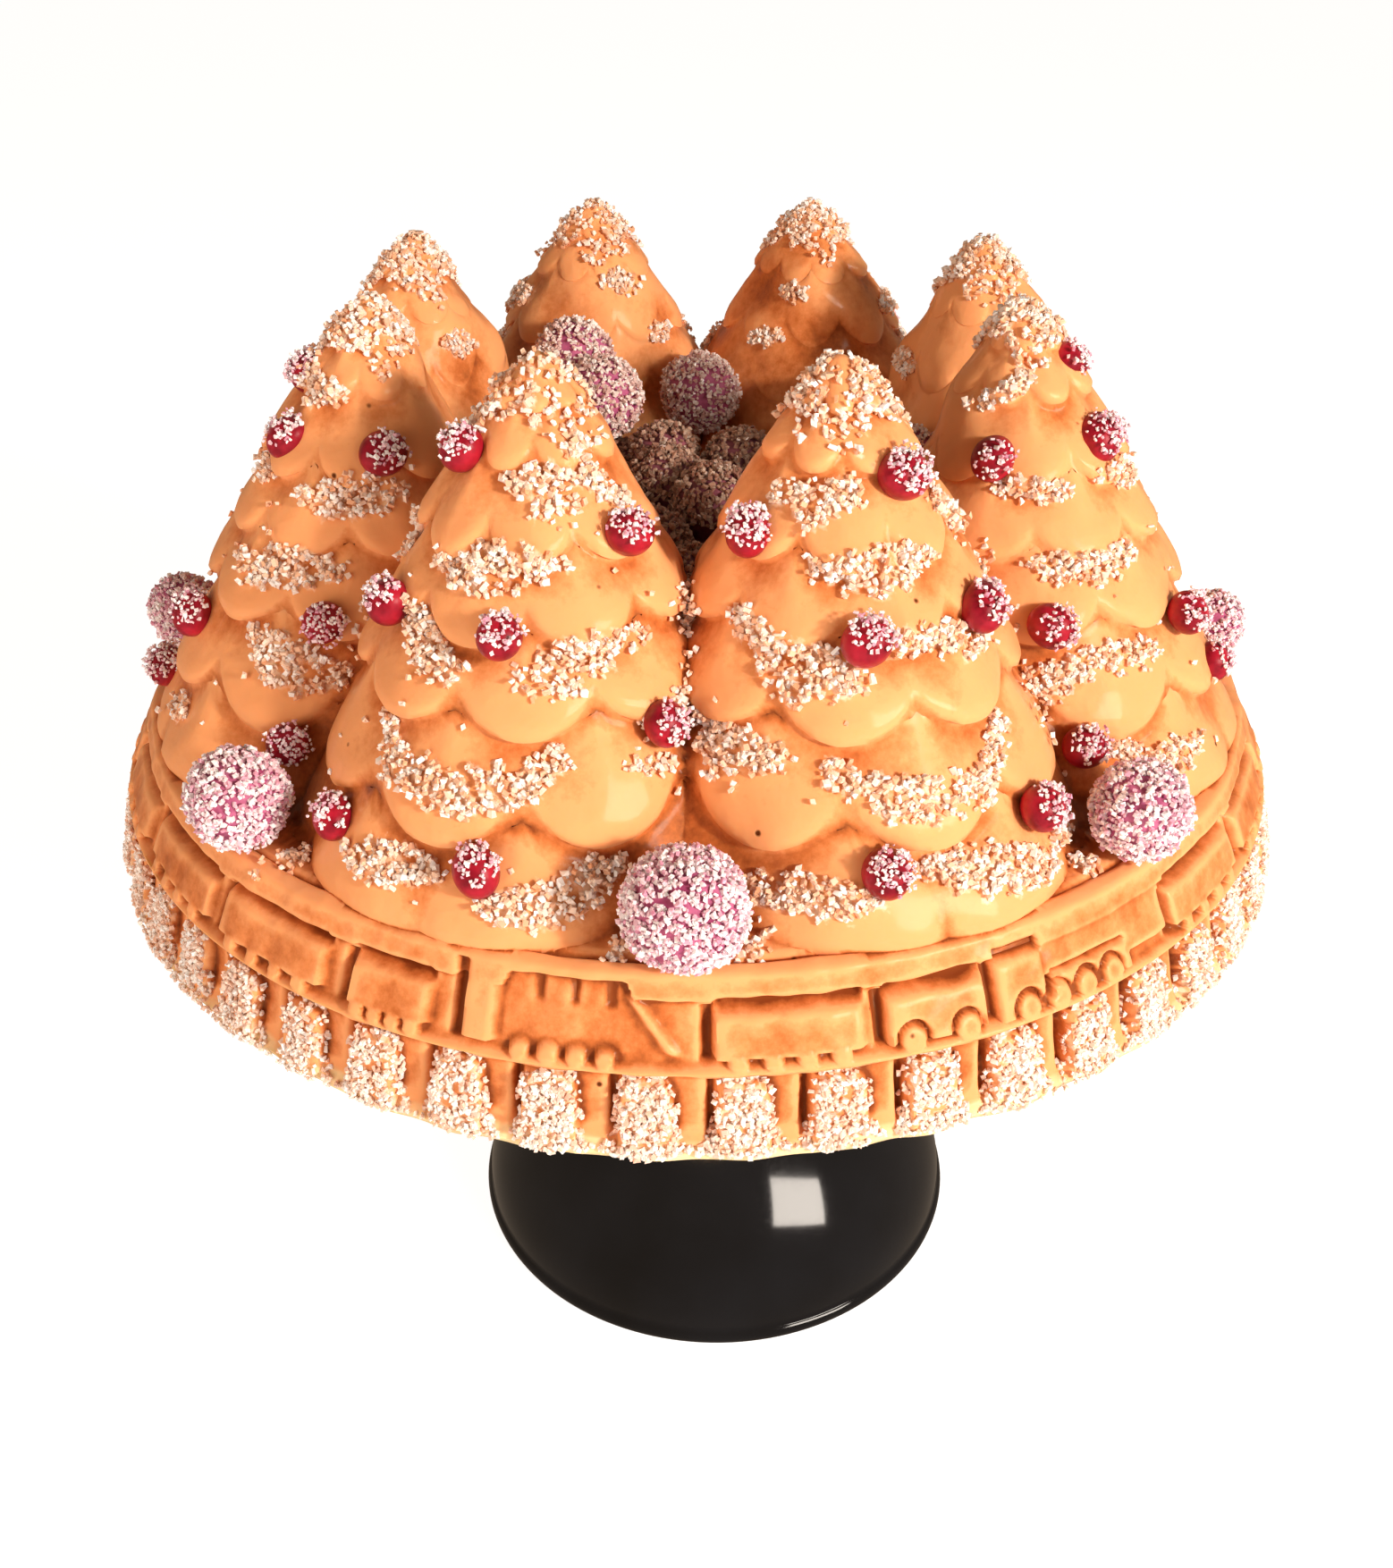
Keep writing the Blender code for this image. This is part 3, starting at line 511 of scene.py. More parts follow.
def groovesOf(height, place, half, foot, top, share=1.0):
    # a dark gap at the left of a part, and one over its top unless it reaches the curb
    leftWidth, topWidth = share * band["leftGroove"], share * band["topGroove"]
    left = asLength(place + half) + leftWidth
    left = np.exp(-(left / leftWidth) ** 4) * within(height, foot, top + 0.0008 * share, band["edge"])
    if top > band["curbLow"]:
        return left
    above = np.exp(-((height - top - topWidth) / topWidth) ** 2)
    return np.maximum(left, 1.2 * above * within(place, -half, half, asTurn(band["edge"])))


def trainRelief(bearing, height):  # how far the band stands proud of its wall
    edge, edgeTurn = band["edge"], asTurn(band["edge"])
    place, half = placeOn(bearing, *band["wagons"][band["flatWagon"]][:2])
    curbRise = (band["curbLowOverFlat"] - band["curbLow"]) * within(place, -half, half, 0.8)
    relief = ease((height - (band["curbLow"] + curbRise)) / 0.0008 + 0.5)
    grooves = np.zeros_like(relief)
    start, pitch, count, length = band["otherWagons"]
    wagons = band["wagons"] + [
        (start + pitch * i, start + pitch * i + length, band["wagonHigh"], 1.0) for i in range(count)]
    for low, high, top, proud in wagons:
        place, half = placeOn(bearing, low, high)
        body = ease((place + half) / edgeTurn + 0.5)
        body = body * np.clip((half - place) / asTurn(band["bevel"]) + 0.5, 0.0, 1.0)
        body = body * within(height, band["wagonLow"] + 0.0010, top, edge)
        relief = np.maximum(relief, proud * body)
        if proud == 1.0:
            grooves = np.maximum(grooves, groovesOf(height, place, half, band["wagonLow"], top))
        for step in range(band["wheels"] if half > 2.0 else 0):
            wheel = -half + (band["firstWheel"] + band["wheelPitch"] * step) * 2.0 * half
            away = np.hypot(asLength(place - wheel), height - band["wagonLow"] - 0.0004)
            wheel = band["wheelProud"] * ease((band["wheelRadius"] - away) / 0.0007 + 0.5)
            relief = np.maximum(relief, wheel)
    for low, high, foot, top, proud, grooveShare in band["engine"]:
        place, half = placeOn(bearing, low, high)
        body = within(place, -half, half, edgeTurn) * within(height, foot, top, edge)
        relief = np.maximum(relief, proud * body)
        if grooveShare > 0.0:
            grooves = np.maximum(grooves, groovesOf(height, place, half, foot, top, grooveShare))
    for middle in band["bigWheels"]:
        away = np.hypot(asLength(turnedTo(bearing, middle)), height - band["bigWheelHeight"])
        groove = np.exp(-((away - band["bigWheelRadius"] - 0.0004) / 0.0004) ** 2)
        wheel = band["bigWheelProud"] * ease((band["bigWheelRadius"] - away) / 0.0008 + 0.5)
        relief = np.maximum(relief * (1.0 - 0.85 * groove), wheel)
    (rodTop, highEnd), (rodFoot, lowEnd) = band["rod"]
    share = (highEnd - height) / (highEnd - lowEnd)
    aside = asLength(turnedTo(bearing, rodTop + (rodFoot - rodTop) * share))
    rod = np.exp(-(aside / band["rodWidth"]) ** 2) * within(share, 0.0, 1.0, 0.2)
    relief = np.maximum(relief, band["rodProud"] * rod)
    for middle in band["slats"]:
        aside = asLength(turnedTo(bearing, middle))
        slat = np.exp(-(aside / band["slatWidth"]) ** 2) * within(height, *band["slatHeights"], 0.0012)
        grooves = np.maximum(grooves, band["slatDepth"] * slat)
    rail = np.exp(-((height - band["railHeight"]) / 0.0006) ** 2)
    return band["relief"] * np.maximum(relief, rail) - band["grooveDepth"] * grooves * (1.0 - rail)


def sleeperRelief(bearing, height, base):
    pitch = 360.0 / band["sleepers"]
    number = np.floor((bearing - band["sleeperBearing"]) / pitch + 0.5)
    place = (bearing - band["sleeperBearing"] - number * pitch) * math.radians(1.0) * 0.1265
    # each is a little wider, taller or prouder than the next
    draw = np.random.default_rng(8).uniform(-1.0, 1.0, (3, band["sleepers"]))
    wider, taller, prouder = draw[:, number.astype(int) % band["sleepers"]]
    half = band["sleeperHalfWidth"] * (1.0 + 0.07 * wider)
    top = band["sleeperTop"] + 0.0005 * taller
    lean = band["sleeperLean"] * np.clip((height - 0.0006) / 0.0120, 0.0, 1.2)
    face = band["sleeperFace"] - lean + 0.0002 * prouder
    corner = (np.abs(place + 0.0003 * prouder) / half) ** 4
    corner = corner + np.clip((height - 0.0060) / (top - 0.0060), 0.0, None) ** 4
    beside = np.exp(-((place + half + 0.0008) / 0.0009) ** 4) * within(height, 0.0020, top, 0.0012)
    return np.clip(face - base, 0.0, None) * ease((1.0 - corner) / 0.45) - band["sleeperGroove"] * beside


def ringMesh():
    bearings = np.arange(band["columns"]) * 360.0 / band["columns"]
    angle = np.radians(bearings)
    # soft scallops over the sleepers and a few random ones, where the batter ran thin at the rim
    phase = (bearings - band["sleeperBearing"]) * band["sleepers"] * math.pi / 180.0
    ragged = waves(towards(angle), 0.42, 3)
    lips = waves(towards(angle), 0.11, 4)
    scallop = 0.0008 * (0.5 - 0.5 * np.cos(phase)) + 0.0008 * np.clip(0.5 + 0.9 * ragged, 0.0, 2.0)
    scallop = scallop + 0.0005 * np.clip(lips, 0.0, 2.0)
    rows = []

    def addRow(radius, height):
        rows.append(around(angle, radius, height))

    inner = [(hole["topRadius"], hole["topHeight"]), (hole["crestRadius"], hole["crestHeight"]),
             (0.80 * ledge["radius"], ledge["height"] + 0.0080),
             (0.90 * ledge["radius"], ledge["height"] + 0.0015), (0.1158, ledge["height"] + 0.0001)]
    radii, heights = zip(*inner)
    for radius in np.concatenate([np.linspace(radii[0], radii[3], 16), [0.1080, 0.1110], band["seamRows"]]):
        seam = band["seamDepth"] * math.exp(-((radius - band["seamRadius"]) / 0.0006) ** 2)
        addRow(radius, float(np.interp(radius, radii, heights)) - seam * (0.8 + 0.5 * ragged))
    for height in np.linspace(0.0311, band["railHeight"] - 0.0011, band["wallRows"]):
        soft = 0.0007 * max(0.0, (height - 0.0305) / 0.0006) ** 2  # rounded upper edge
        relief = trainRelief(bearings, np.full_like(bearings, height))
        addRow(wallRadius(height) + relief - soft, height)
    for height in np.linspace(0.0144, 0.0018, band["sleeperRows"]):
        low = np.clip((0.0147 - height) / 0.0147, 0.0, 1.0)
        base = 0.1232 + 0.0030 * low + 0.0035 * low ** 6
        base = base - scallop * low ** 6
        addRow(base + sleeperRelief(bearings, np.full_like(bearings, height), base), height)
    # the underbaked lip sags a little below the plate
    sag = band["lipSag"] * np.clip(0.55 + 0.40 * lips + 0.25 * ragged, 0.0, 1.2)
    addRow(band["rimRadius"] - scallop, 0.0012 - 0.8 * sag)
    addRow(band["rimRadius"] - scallop - 0.0004, 0.0002 - sag)
    addRow(band["rimRadius"] - scallop - 0.0014, -sag)
    for radius in (0.1225, 0.1190, 0.0800, 0.0450, hole["footRadius"]):
        addRow(radius, 0.0)
    for share in (0.33, 0.66):
        radius = hole["footRadius"] + (hole["topRadius"] - hole["footRadius"]) * share
        addRow(radius, hole["topHeight"] * share)
    return meshOf("ring", np.concatenate(rows), gridFaces(len(rows), band["columns"], closed=True))


def joined(baseMesh, otherMeshes):
    # one closed skin out of several that pass through each other
    base = newObject("base", baseMesh)
    others = bpy.data.collections.new("others")
    for mesh in otherMeshes:
        others.objects.link(bpy.data.objects.new(mesh.name, mesh))
    union = base.modifiers.new("join", "BOOLEAN")
    union.operation = "UNION"
    union.operand_type = "COLLECTION"
    union.collection = others
    union.solver = "MANIFOLD"
    bpy.context.view_layer.update()
    mesh = bpy.data.meshes.new_from_object(base.evaluated_get(bpy.context.evaluated_depsgraph_get()))
    for item in list(others.objects) + [base]:
        bpy.data.objects.remove(item, do_unlink=True)
    bpy.data.collections.remove(others)
    return mesh


def smoothed(values, edges, steps):
    # each vertex takes the mean of itself and its neighbours, a few times over
    table = values.reshape(len(values), -1)
    count = np.bincount(edges.ravel(), minlength=len(values))[:, None] + 1.0
    for step in range(steps):
        total = table.copy()
        for axis in range(table.shape[1]):
            total[:, axis] += np.bincount(edges[:, 0], table[edges[:, 1], axis], len(values))
            total[:, axis] += np.bincount(edges[:, 1], table[edges[:, 0], axis], len(values))
        table = total / count
    return table.reshape(values.shape)


def storeValue(mesh, name, values):
    layer = mesh.attributes.new(name, "FLOAT", "POINT")
    layer.data.foreach_set("value", values.astype(np.float32))


def outAndHigh(points):  # distances from the axis, and heights
    return np.hypot(points[:, 0], points[:, 1]), points[:, 2] - standHeight


def hollowAt(points, means, normals):
    # how far each point lies below the mean of its neighbourhood
    return np.einsum("ij,ij->i", means - points, normals)


# How baking changed what the tin gave, and the painted shade of the crust. Each swell has a size in metres, a
# height and a seed.
bake = {
    "swells": ((0.016, 0.00022, 11), (0.006, 0.00010, 12)),  # a baked surface is never quite even
    "innerSwell": (0.022, 0.0012, 13),  # the sides that face the hole rose freely, in broad soft bumps
    "creaseFill": 0.9,  # batter fills the creases where the trees meet each other and the ledge
    # painted shade in the hollows: how many neighbours away each mean is taken, and how deep below it is
    # fully hollow; then the base level and the contrast of that painted shade
    "broad": (14, 0.0011), "wide": (60, 0.0022), "close": (4, 0.0003),
    "paintedShadeBase": 0.42, "contrast": 0.5,
    "trainShade": 0.10,  # painted shade on the train's wall
    "lipHeight": 0.0022, "lipSwell": (0.016, 0.0009, 9),  # the cream, underbaked lip
}


def bakedCake():
    mesh = joined(ringMesh(), [treeMesh(number) for number in range(tree["count"])])
    points, normals = pointsOf(mesh), pointsOf(mesh, "normal")
    edges = np.empty(len(mesh.edges) * 2, dtype=np.int32)
    mesh.edges.foreach_get("vertices", edges)
    edges = edges.reshape(-1, 2)
    outward, high = outAndHigh(points)
    swell = sum(height * waves(points, size, seed) for size, height, seed in bake["swells"])
    size, height, seed = bake["innerSwell"]
    inner = ease((axisRadius(high) - outward) / 0.012) * ease((0.113 - high) / 0.008)
    swell += height * inner * waves(points, size, seed)
    points += normals * (swell * (outward < 0.1255))[:, None]
    near = smoothed(points, edges, 10)
    outward, high = outAndHigh(points)
    above = (high > ledge["height"] - 0.0006) & (outward < band["seamRows"][0])
    crease = ease((hollowAt(points, near, normals) - 0.00030) / 0.0006)
    points += (near - points) * (bake["creaseFill"] * crease * above)[:, None]
    mesh.vertices.foreach_set("co", points.ravel())
    # painted shade: the crust is painted darker the more hollow it lies, and paler on the bulges as painted
    # light
    normals = pointsOf(mesh, "normal")
    outward, high = outAndHigh(points)
    broad = smoothed(points, edges, bake["broad"][0])
    wide = smoothed(broad, edges, bake["wide"][0])
    hollow = hollowAt(points, broad, normals) / bake["broad"][1]
    hollow = 0.7 * hollow + 0.7 * hollowAt(points, wide, normals) / bake["wide"][1]
    # on the band the grooves are narrow, so they are found against a closer neighbourhood too, and get
    # painted shade
    onBand = outward > band["seamRows"][0]
    close = smoothed(points, edges, bake["close"][0])
    close = hollowAt(points, close, normals) / bake["close"][1]
    hollow = np.where(onBand, 1.2 * hollow + 0.8 * close, hollow)
    hollow = bake["paintedShadeBase"] + bake["contrast"] * np.clip(smoothed(hollow, edges, 1), -0.8, 1.0)
    # painted shade over the train's wall
    hollow += bake["trainShade"] * onBand * within(high, 0.0170, 0.0288, 0.002)
    # painted light (below 0) or painted shade (above 0) on each tree
    for number, shadeShift in enumerate(tree["treeShade"]):
        bearing = np.full(len(points), treeBearing(number))
        aside = np.linalg.norm(points - around(bearing, axisRadius(high), high), axis=1)
        hollow += shadeShift * ease((coneRadius(high) + 0.008 - aside) / 0.008) * ease((high - 0.034) / 0.008)
    storeValue(mesh, "hollow", hollow)
    size, height, seed = bake["lipSwell"]
    lipHeight = bake["lipHeight"] + height * waves(points, size, seed)
    rim = ease((lipHeight - high) / 0.0012) * ease((outward - 0.122) / 0.002)
    storeValue(mesh, "rim", 0.95 * rim)
    mesh.shade_smooth()
    mesh.set_sharp_from_angle(angle=math.radians(62.0))
    return mesh


cakeMesh = bakedCake()
pieceOf("cake", cakeMesh, crustMaterial, ["cake"])
cakeSurface = BVHTree.FromPolygons(
    [Vector(point) for point in pointsOf(cakeMesh)], [tuple(face.vertices) for face in cakeMesh.polygons])
print("cake made", len(cakeMesh.polygons), "faces")


# Sugar grains: broken cubes about a millimetre across, one or two deep
grain = {"length": (0.00100, 0.00150), "width": (0.00075, 0.00115), "broken": 0.30, "pile": 0.0011}
grainCorners = np.array([(x, y, z) for x in (-0.5, 0.5) for y in (-0.5, 0.5) for z in (-0.5, 0.5)])
grainSides = ((0, 1, 3, 2), (4, 6, 7, 5), (0, 4, 5, 1), (2, 3, 7, 6), (0, 2, 6, 4), (1, 5, 7, 3))
grainFaces = np.array([half for a, b, c, d in grainSides for half in ((a, b, c), (a, c, d))])
boxTop = float(cadBox[1][2]) - 0.0001  # no grain reaches past the solids' box
boxRadius = float(cadBox[1][0]) - 0.0001


# One mesh of grains at the spots that were found, each lying near flat on its surface
def crystals(name, found, material, lift=0.25, size=1.0, pile=1.0):
    spots, ups = (np.concatenate(part) for part in zip(*found))
    count = len(spots)
    ups = unit(ups)
    side = unit(np.cross(ups, chance.normal(size=(count, 3))))
    tilt = chance.normal(0.1, 0.40, count)[:, None]
    along = side * np.cos(tilt) + ups * np.sin(tilt)
    roll = chance.uniform(0.0, math.tau, count)[:, None]
    first = unit(np.cross(along, ups))
    second = np.cross(along, first)
    first, second = (first * np.cos(roll) + second * np.sin(roll),
                     second * np.cos(roll) - first * np.sin(roll))
    size = size * chance.uniform(0.75, 1.25, count)
    length = size * chance.uniform(*grain["length"], count)
    width = size * chance.uniform(*grain["width"], count)
    thick = width * chance.uniform(0.7, 1.0, count)
    local = grainCorners[None] * chance.uniform(1.0 - 2.0 * grain["broken"], 1.0, (count, 8, 3))
    corners = (local[..., 0:1] * (along * length[:, None])[:, None]
               + local[..., 1:2] * (first * width[:, None])[:, None]
               + local[..., 2:3] * (second * thick[:, None])[:, None])
    rise = width * lift + pile * grain["pile"] * chance.uniform(0.0, 1.0, count) ** 2.0
    corners += (spots + ups * rise[:, None])[:, None]
    corners[..., 2] = np.minimum(corners[..., 2], boxTop)
    outward = np.hypot(corners[..., 0], corners[..., 1])
    corners[..., :2] *= np.minimum(1.0, boxRadius / outward)[..., None]
    faces = (grainFaces[None] + 8 * np.arange(count)[:, None, None]).reshape(-1, 3)
    mesh = meshOf(name, corners, faces.tolist())
    storeValue(mesh, "tint", np.repeat(chance.uniform(0.0, 1.0, count), 8))
    pieceOf(name, mesh, material)
    print(name, count, "grains")


def landed(starts, directions, reach=0.06):
    # where straight lines first meet the cake, and which way it faces there
    spots, ups = [], []
    for start, direction in zip(starts, directions):
        spot, up, face, distance = cakeSurface.ray_cast(Vector(start), Vector(direction), reach)
        if spot is not None:
            spots.append(spot[:])
            ups.append(up[:])
    return np.array(spots).reshape(-1, 3), np.array(ups).reshape(-1, 3)


def ontoTree(number, turns, heights):
    starts = treePoint(treeBearing(number), turns, coneRadius(heights) + 0.014, heights)
    return landed(starts, -towards(treeBearing(number) + turns), 0.03)


# Swooshes of sugar on each tree, as (path of turn in degrees and height in mm, half thickness in mm)
swoosh = {"spread": 1.08, "grainsPerMm": 2.1}  # grains on a square millimetre
strokes = {
    0: [(((-58, 97), (-39, 95.5), (-20, 98)), 3.2), (((-33, 87), (-11, 87), (14, 88)), 3.6),
        (((-62, 78), (-45, 73), (-21, 72)), 4.2), (((-4, 77), (17, 76), (36, 73)), 2.8),
        (((48, 93), (52, 90)), 3.5), (((-25, 57), (-14, 54.5), (0, 53.5), (16, 53), (26, 56), (30, 60)), 3.4),
        (((-72, 60.5), (-62, 58.5), (-46, 59)), 3.9), (((-46, 39), (-34, 40), (-18, 40)), 3.0),
        (((-1, 42), (13, 40), (31, 37)), 3.6), (((40, 38), (47, 36)), 2.5), (((64, 80), (66, 76)), 2.0)],
    7: [(((57, 104), (66, 99), (74, 95)), 3.0), (((20, 99), (37, 97), (55, 98)), 4.4),
        (((-18, 86), (8, 87), (32, 87)), 3.6), (((-64, 88), (-62, 83)), 3.2),
        (((25, 72), (43, 73), (60, 75)), 3.8), (((-33, 77), (-18, 75), (-6, 71)), 3.6),
        (((-26, 60), (-18, 56), (6, 54), (22, 55), (32, 59)), 3.4), (((52, 57), (66, 55)), 1.6),
        (((-22, 39), (-10, 40), (0, 41)), 3.4), (((18, 38), (29, 39), (44, 41)), 3.8),
        (((-43, 32), (-41, 31)), 1.6)],
    6: [(((10, 103), (26, 101), (40, 102)), 3.6), (((2, 88), (12, 86)), 3.0),
        (((50, 85), (68, 85), (86, 86)), 4.0), (((22, 72), (43, 73), (62, 73)), 3.4),
        (((38, 60), (52, 57), (66, 56)), 4.0), (((0, 39), (10, 41)), 2.6)],
    1: [(((-112, 99), (-84, 103), (-52, 107)), 1.9), (((-84, 87), (-70, 87), (-55, 87)), 2.6),
        (((-26, 89), (-7, 87), (10, 87)), 2.6), (((-65, 75), (-46, 74), (-28, 75)), 3.4),
        (((-80, 56), (-68, 55), (-56, 57)), 3.0), (((-50, 60), (-40, 59), (-27, 58)), 2.6),
        (((-47, 43), (-35, 39), (-20, 40)), 3.0)],
}
innerStrokes = {  # the sides that face the hole, where they show
    4: [(((-178, 101), (-160, 100)), 3.4), (((-150, 88), (-135, 88)), 2.6)],
    3: [(((178, 98), (192, 99)), 2.6), (((160, 88), (174, 89)), 2.6)],
    2: [(((150, 89), (170, 90)), 3.2)],
    5: [(((150, 96), (170, 95)), 2.6)],
}


def plainStrokes(number):
    # the far trees: a swoosh on most of the lobes that face out
    draw = np.random.default_rng(60 + number)
    plain = []
    for tier in range(2, 7):
        middle = 0.5 * (tree["lows"][tier - 1] + tree["lows"][tier]) * 1000.0
        offset = 0.0 if tier % 2 else 22.5
        for turn in (-90 + offset, -45 + offset, offset, 45 + offset):
            if draw.uniform() < 0.72:
                wide = draw.uniform(9.0, 16.0)
                centre, height = turn + draw.uniform(-5, 5), middle + draw.uniform(-1.5, 1.5)
                end = height + draw.uniform(-1.0, 2.5)
                path = ((centre - wide, end), (centre, height), (centre + wide, end))
                plain.append((path, draw.uniform(2.4, 3.8)))
    return plain


def strokeSpots(number, path, thick):
    path = np.array(path, dtype=float)
    turnScale = float(coneRadius(np.array(path[:, 1].mean() * 0.001))) * 1000.0 * math.pi / 180.0
    flat = path * (turnScale, 1.0)
    lengths = np.linalg.norm(np.diff(flat, axis=0), axis=1)
    whole = lengths.sum()
    count = int(swoosh["grainsPerMm"] * (whole + 2.0 * thick) * 2.0 * thick)
    along = chance.uniform(-thick, whole + thick, count)
    spread = chance.uniform(-1.15, 1.15, count)
    marks = np.concatenate([[0.0], np.cumsum(lengths)])
    x = np.interp(along, marks, flat[:, 0]) + chance.normal(0.0, 0.25, count)
    y = np.interp(along, marks, flat[:, 1]) + spread * thick
    over = np.maximum(np.maximum(-along, along - whole), 0.0) / thick  # past the ends
    x += np.sign(along - 0.5 * whole) * over * thick * np.sign(flat[-1, 0] - flat[0, 0])
    edge = waves(np.stack([x, y, 0 * x], 1) + 37.0 * number, 4.0, 21)
    taper = 1.0 - 0.42 * np.abs(2.0 * np.clip(along / whole, 0.0, 1.0) - 1.0) ** 2.5
    keep = np.hypot(spread / taper, over) < 0.90 + 0.24 * edge + chance.normal(0.0, 0.07, count)
    return ontoTree(number, np.radians(x[keep] / turnScale), y[keep] * 0.001)


# The tips are thickly sugared. For each tree: the cap's lower edge and how full it is.
cap = {
    "grains": 620,
    "lows": (0.1055, 0.1090, 0.1060, 0.1068, 0.1055, 0.1060, 0.1065, 0.1052),
    "fullness": (0.86, 0.86, 0.86, 0.76, 0.60, 0.86, 0.80, 0.64),
}


def capSpots(number):
    count = int(cap["fullness"][number] * cap["grains"])
    share = chance.uniform(0.0, 1.0, count) ** 0.62  # thinner towards the lower edge
    turns = chance.uniform(-math.pi, math.pi, count)
    ragged = 0.0022 * np.sin(3.0 * turns + 2.0 * number)
    ragged = cap["lows"][number] + ragged + 0.0012 * np.sin(7.0 * turns + number)
    return ontoTree(number, turns, tree["height"] - (tree["height"] - ragged) * share)


cakeSugar = []  # all that was found on the cake, for the fine sugar between the grains
for pair in ((0, 7), (6, 1), (5, 2), (4, 3)):
    found = []
    for number in pair:
        for path, thick in (strokes.get(number) or plainStrokes(number)) + innerStrokes.get(number, []):
            found.append(strokeSpots(number, path, thick * swoosh["spread"]))
        found.append(capSpots(number))
    crystals(f"sugar_on_trees_{pair[0]}_{pair[1]}", found, sugarOnCake)
    cakeSugar += found

# Every sleeper is sugared from its top to the rim, and some sugar lies along the rim
sleeperSugar = {
    "grains": 335, "low": 0.0002, "height": 0.0142,
    "heights": (0.0, 0.002, 0.004, 0.012, 0.0145), "halfWidths": (3.7, 3.1, 2.4, 2.1, 1.3),  # in degrees
}


def sleeperSpots():
    count = band["sleepers"] * sleeperSugar["grains"]
    number = chance.integers(0, band["sleepers"], count)
    middle = band["sleeperBearing"] + number * 360.0 / band["sleepers"]
    height = sleeperSugar["low"] + sleeperSugar["height"] * chance.uniform(0.0, 1.0, count) ** 1.35
    half = np.interp(height, sleeperSugar["heights"], sleeperSugar["halfWidths"])
    bearing = np.radians(middle + chance.uniform(-1.0, 1.0, count) * half)
    return landed(around(bearing, 0.145, height), -towards(bearing), 0.04)


found = sleeperSpots()
crystals("sugar_on_sleepers", [found], sugarOnRim, size=0.92, pile=0.55)
cakeSugar.append(found)

# Smaller patches and stray grains
loose = {
    # thrown across: bearing in degrees, height in mm, half width, half height, grains
    "across": [(0.0, 76.0, 2.6, 8.0, 120), (-1.0, 63.0, 2.0, 4.0, 40), (45.0, 74.0, 2.6, 7.0, 90),
               (-45.0, 72.0, 2.6, 7.0, 80)],
    # dropped onto the ledge: bearing in degrees, distance from the axis in mm, half size, grains
    "dropped": [(-5.6, 113.5, 2.4, 34), (5.9, 113.0, 2.2, 22), (7.4, 110.5, 2.0, 10), (39.5, 111.5, 3.0, 30),
                (-39.0, 112.0, 3.2, 34), (51.0, 113.0, 2.6, 20)],
    "fallen": 300, "fallenHeights": (0.033, 0.100),  # grains that fell anywhere
}
starts, ways = [], []
for bearing, height, wide, tall, count in loose["across"]:
    turned = np.radians(bearing + chance.normal(0.0, 0.5, count) * wide / 1.6)
    starts.append(around(turned, 0.15, 0.001 * (height + chance.normal(0.0, 0.5, count) * tall)))
    ways.append(-towards(turned))
for bearing, distance, size, count in loose["dropped"]:
    turned = np.radians(bearing + chance.normal(0.0, 0.5, count) * size / 2.0)
    starts.append(around(turned, 0.001 * (distance + chance.normal(0.0, 0.5, count) * size), 0.06))
    ways.append(np.tile((0.0, 0.0, -1.0), (count, 1)))
turned = chance.uniform(0.0, math.tau, loose["fallen"])
starts.append(around(turned, 0.15, chance.uniform(*loose["fallenHeights"], loose["fallen"])))
ways.append(-towards(turned))
found = landed(np.concatenate(starts), np.concatenate(ways), 0.12)
crystals("loose_sugar", [found], sugarOnCake)
cakeSugar.append(found)

# the closer the grains lie, the more fine sugar there is between them
allSpots = np.concatenate([spots for spots, ups in cakeSugar])
nearby = KDTree(len(allSpots))
for number, spot in enumerate(allSpots):
    nearby.insert(spot, number)
nearby.balance()
thirdNearest = np.array([nearby.find_n(point, 3)[2][2] for point in pointsOf(cakeMesh)])
storeValue(cakeMesh, "dust", ease((0.00135 - thirdNearest) / 0.0008))
print("cake sugared")


# Berries
def ballMesh(name, radius, squash, columns=40, rows=24):
    # a slightly squashed ball with a small dimple at its top
    angles = np.arange(columns) * math.tau / columns
    points = [(0.0, 0.0, radius * squash * 0.94)]
    for row in range(1, rows):
        down = math.pi * row / rows
        dimple = 1.0 - 0.06 * math.exp(-(down / 0.22) ** 2)
        for angle in angles:
            wobble = 1.0 + 0.018 * math.sin(2.0 * angle + radius * 9000.0) * math.sin(down)
            points.append((radius * math.sin(down) * math.cos(angle) * wobble,
                           radius * math.sin(down) * math.sin(angle) * wobble,
                           radius * squash * math.cos(down) * dimple))
    points.append((0.0, 0.0, -radius * squash))
    faces = [(0, 1 + i, 1 + (i + 1) % columns) for i in range(columns)]
    faces += gridFaces(rows - 1, columns, 1)
    last = 1 + (rows - 2) * columns
    faces += [(len(points) - 1, last + (i + 1) % columns, last + i) for i in range(columns)]
    mesh = meshOf(name, points, faces)
    mesh.shade_smooth()
    return mesh


def nodePoints(name):
    item = frame["nodes"][name]
    turn, place = item.matrix_world.to_3x3(), item.matrix_world.translation
    return pointsOf(item.data) @ np.array(turn).T + np.array(place)


def ballIn(points):
    # middle and radius of the ball that a solid's corners lie on
    system = np.concatenate([2.0 * points, np.ones((len(points), 1))], axis=1)
    answer = np.linalg.lstsq(system, (points ** 2).sum(axis=1), rcond=None)[0]
    middle = answer[:3]
    return middle, math.sqrt(answer[3] + middle @ middle)


def anySpin(draw):
    return np.array(Matrix.Rotation(draw.uniform(0.0, math.tau), 3, draw.normal(size=3)))


def grainWays(draw, radius, grainsPerMm):
    # a random way out for each grain on a ball
    count = int(4.0 * math.pi * (radius * 1000.0) ** 2 * grainsPerMm)
    return unit(draw.normal(size=(count, 3)))


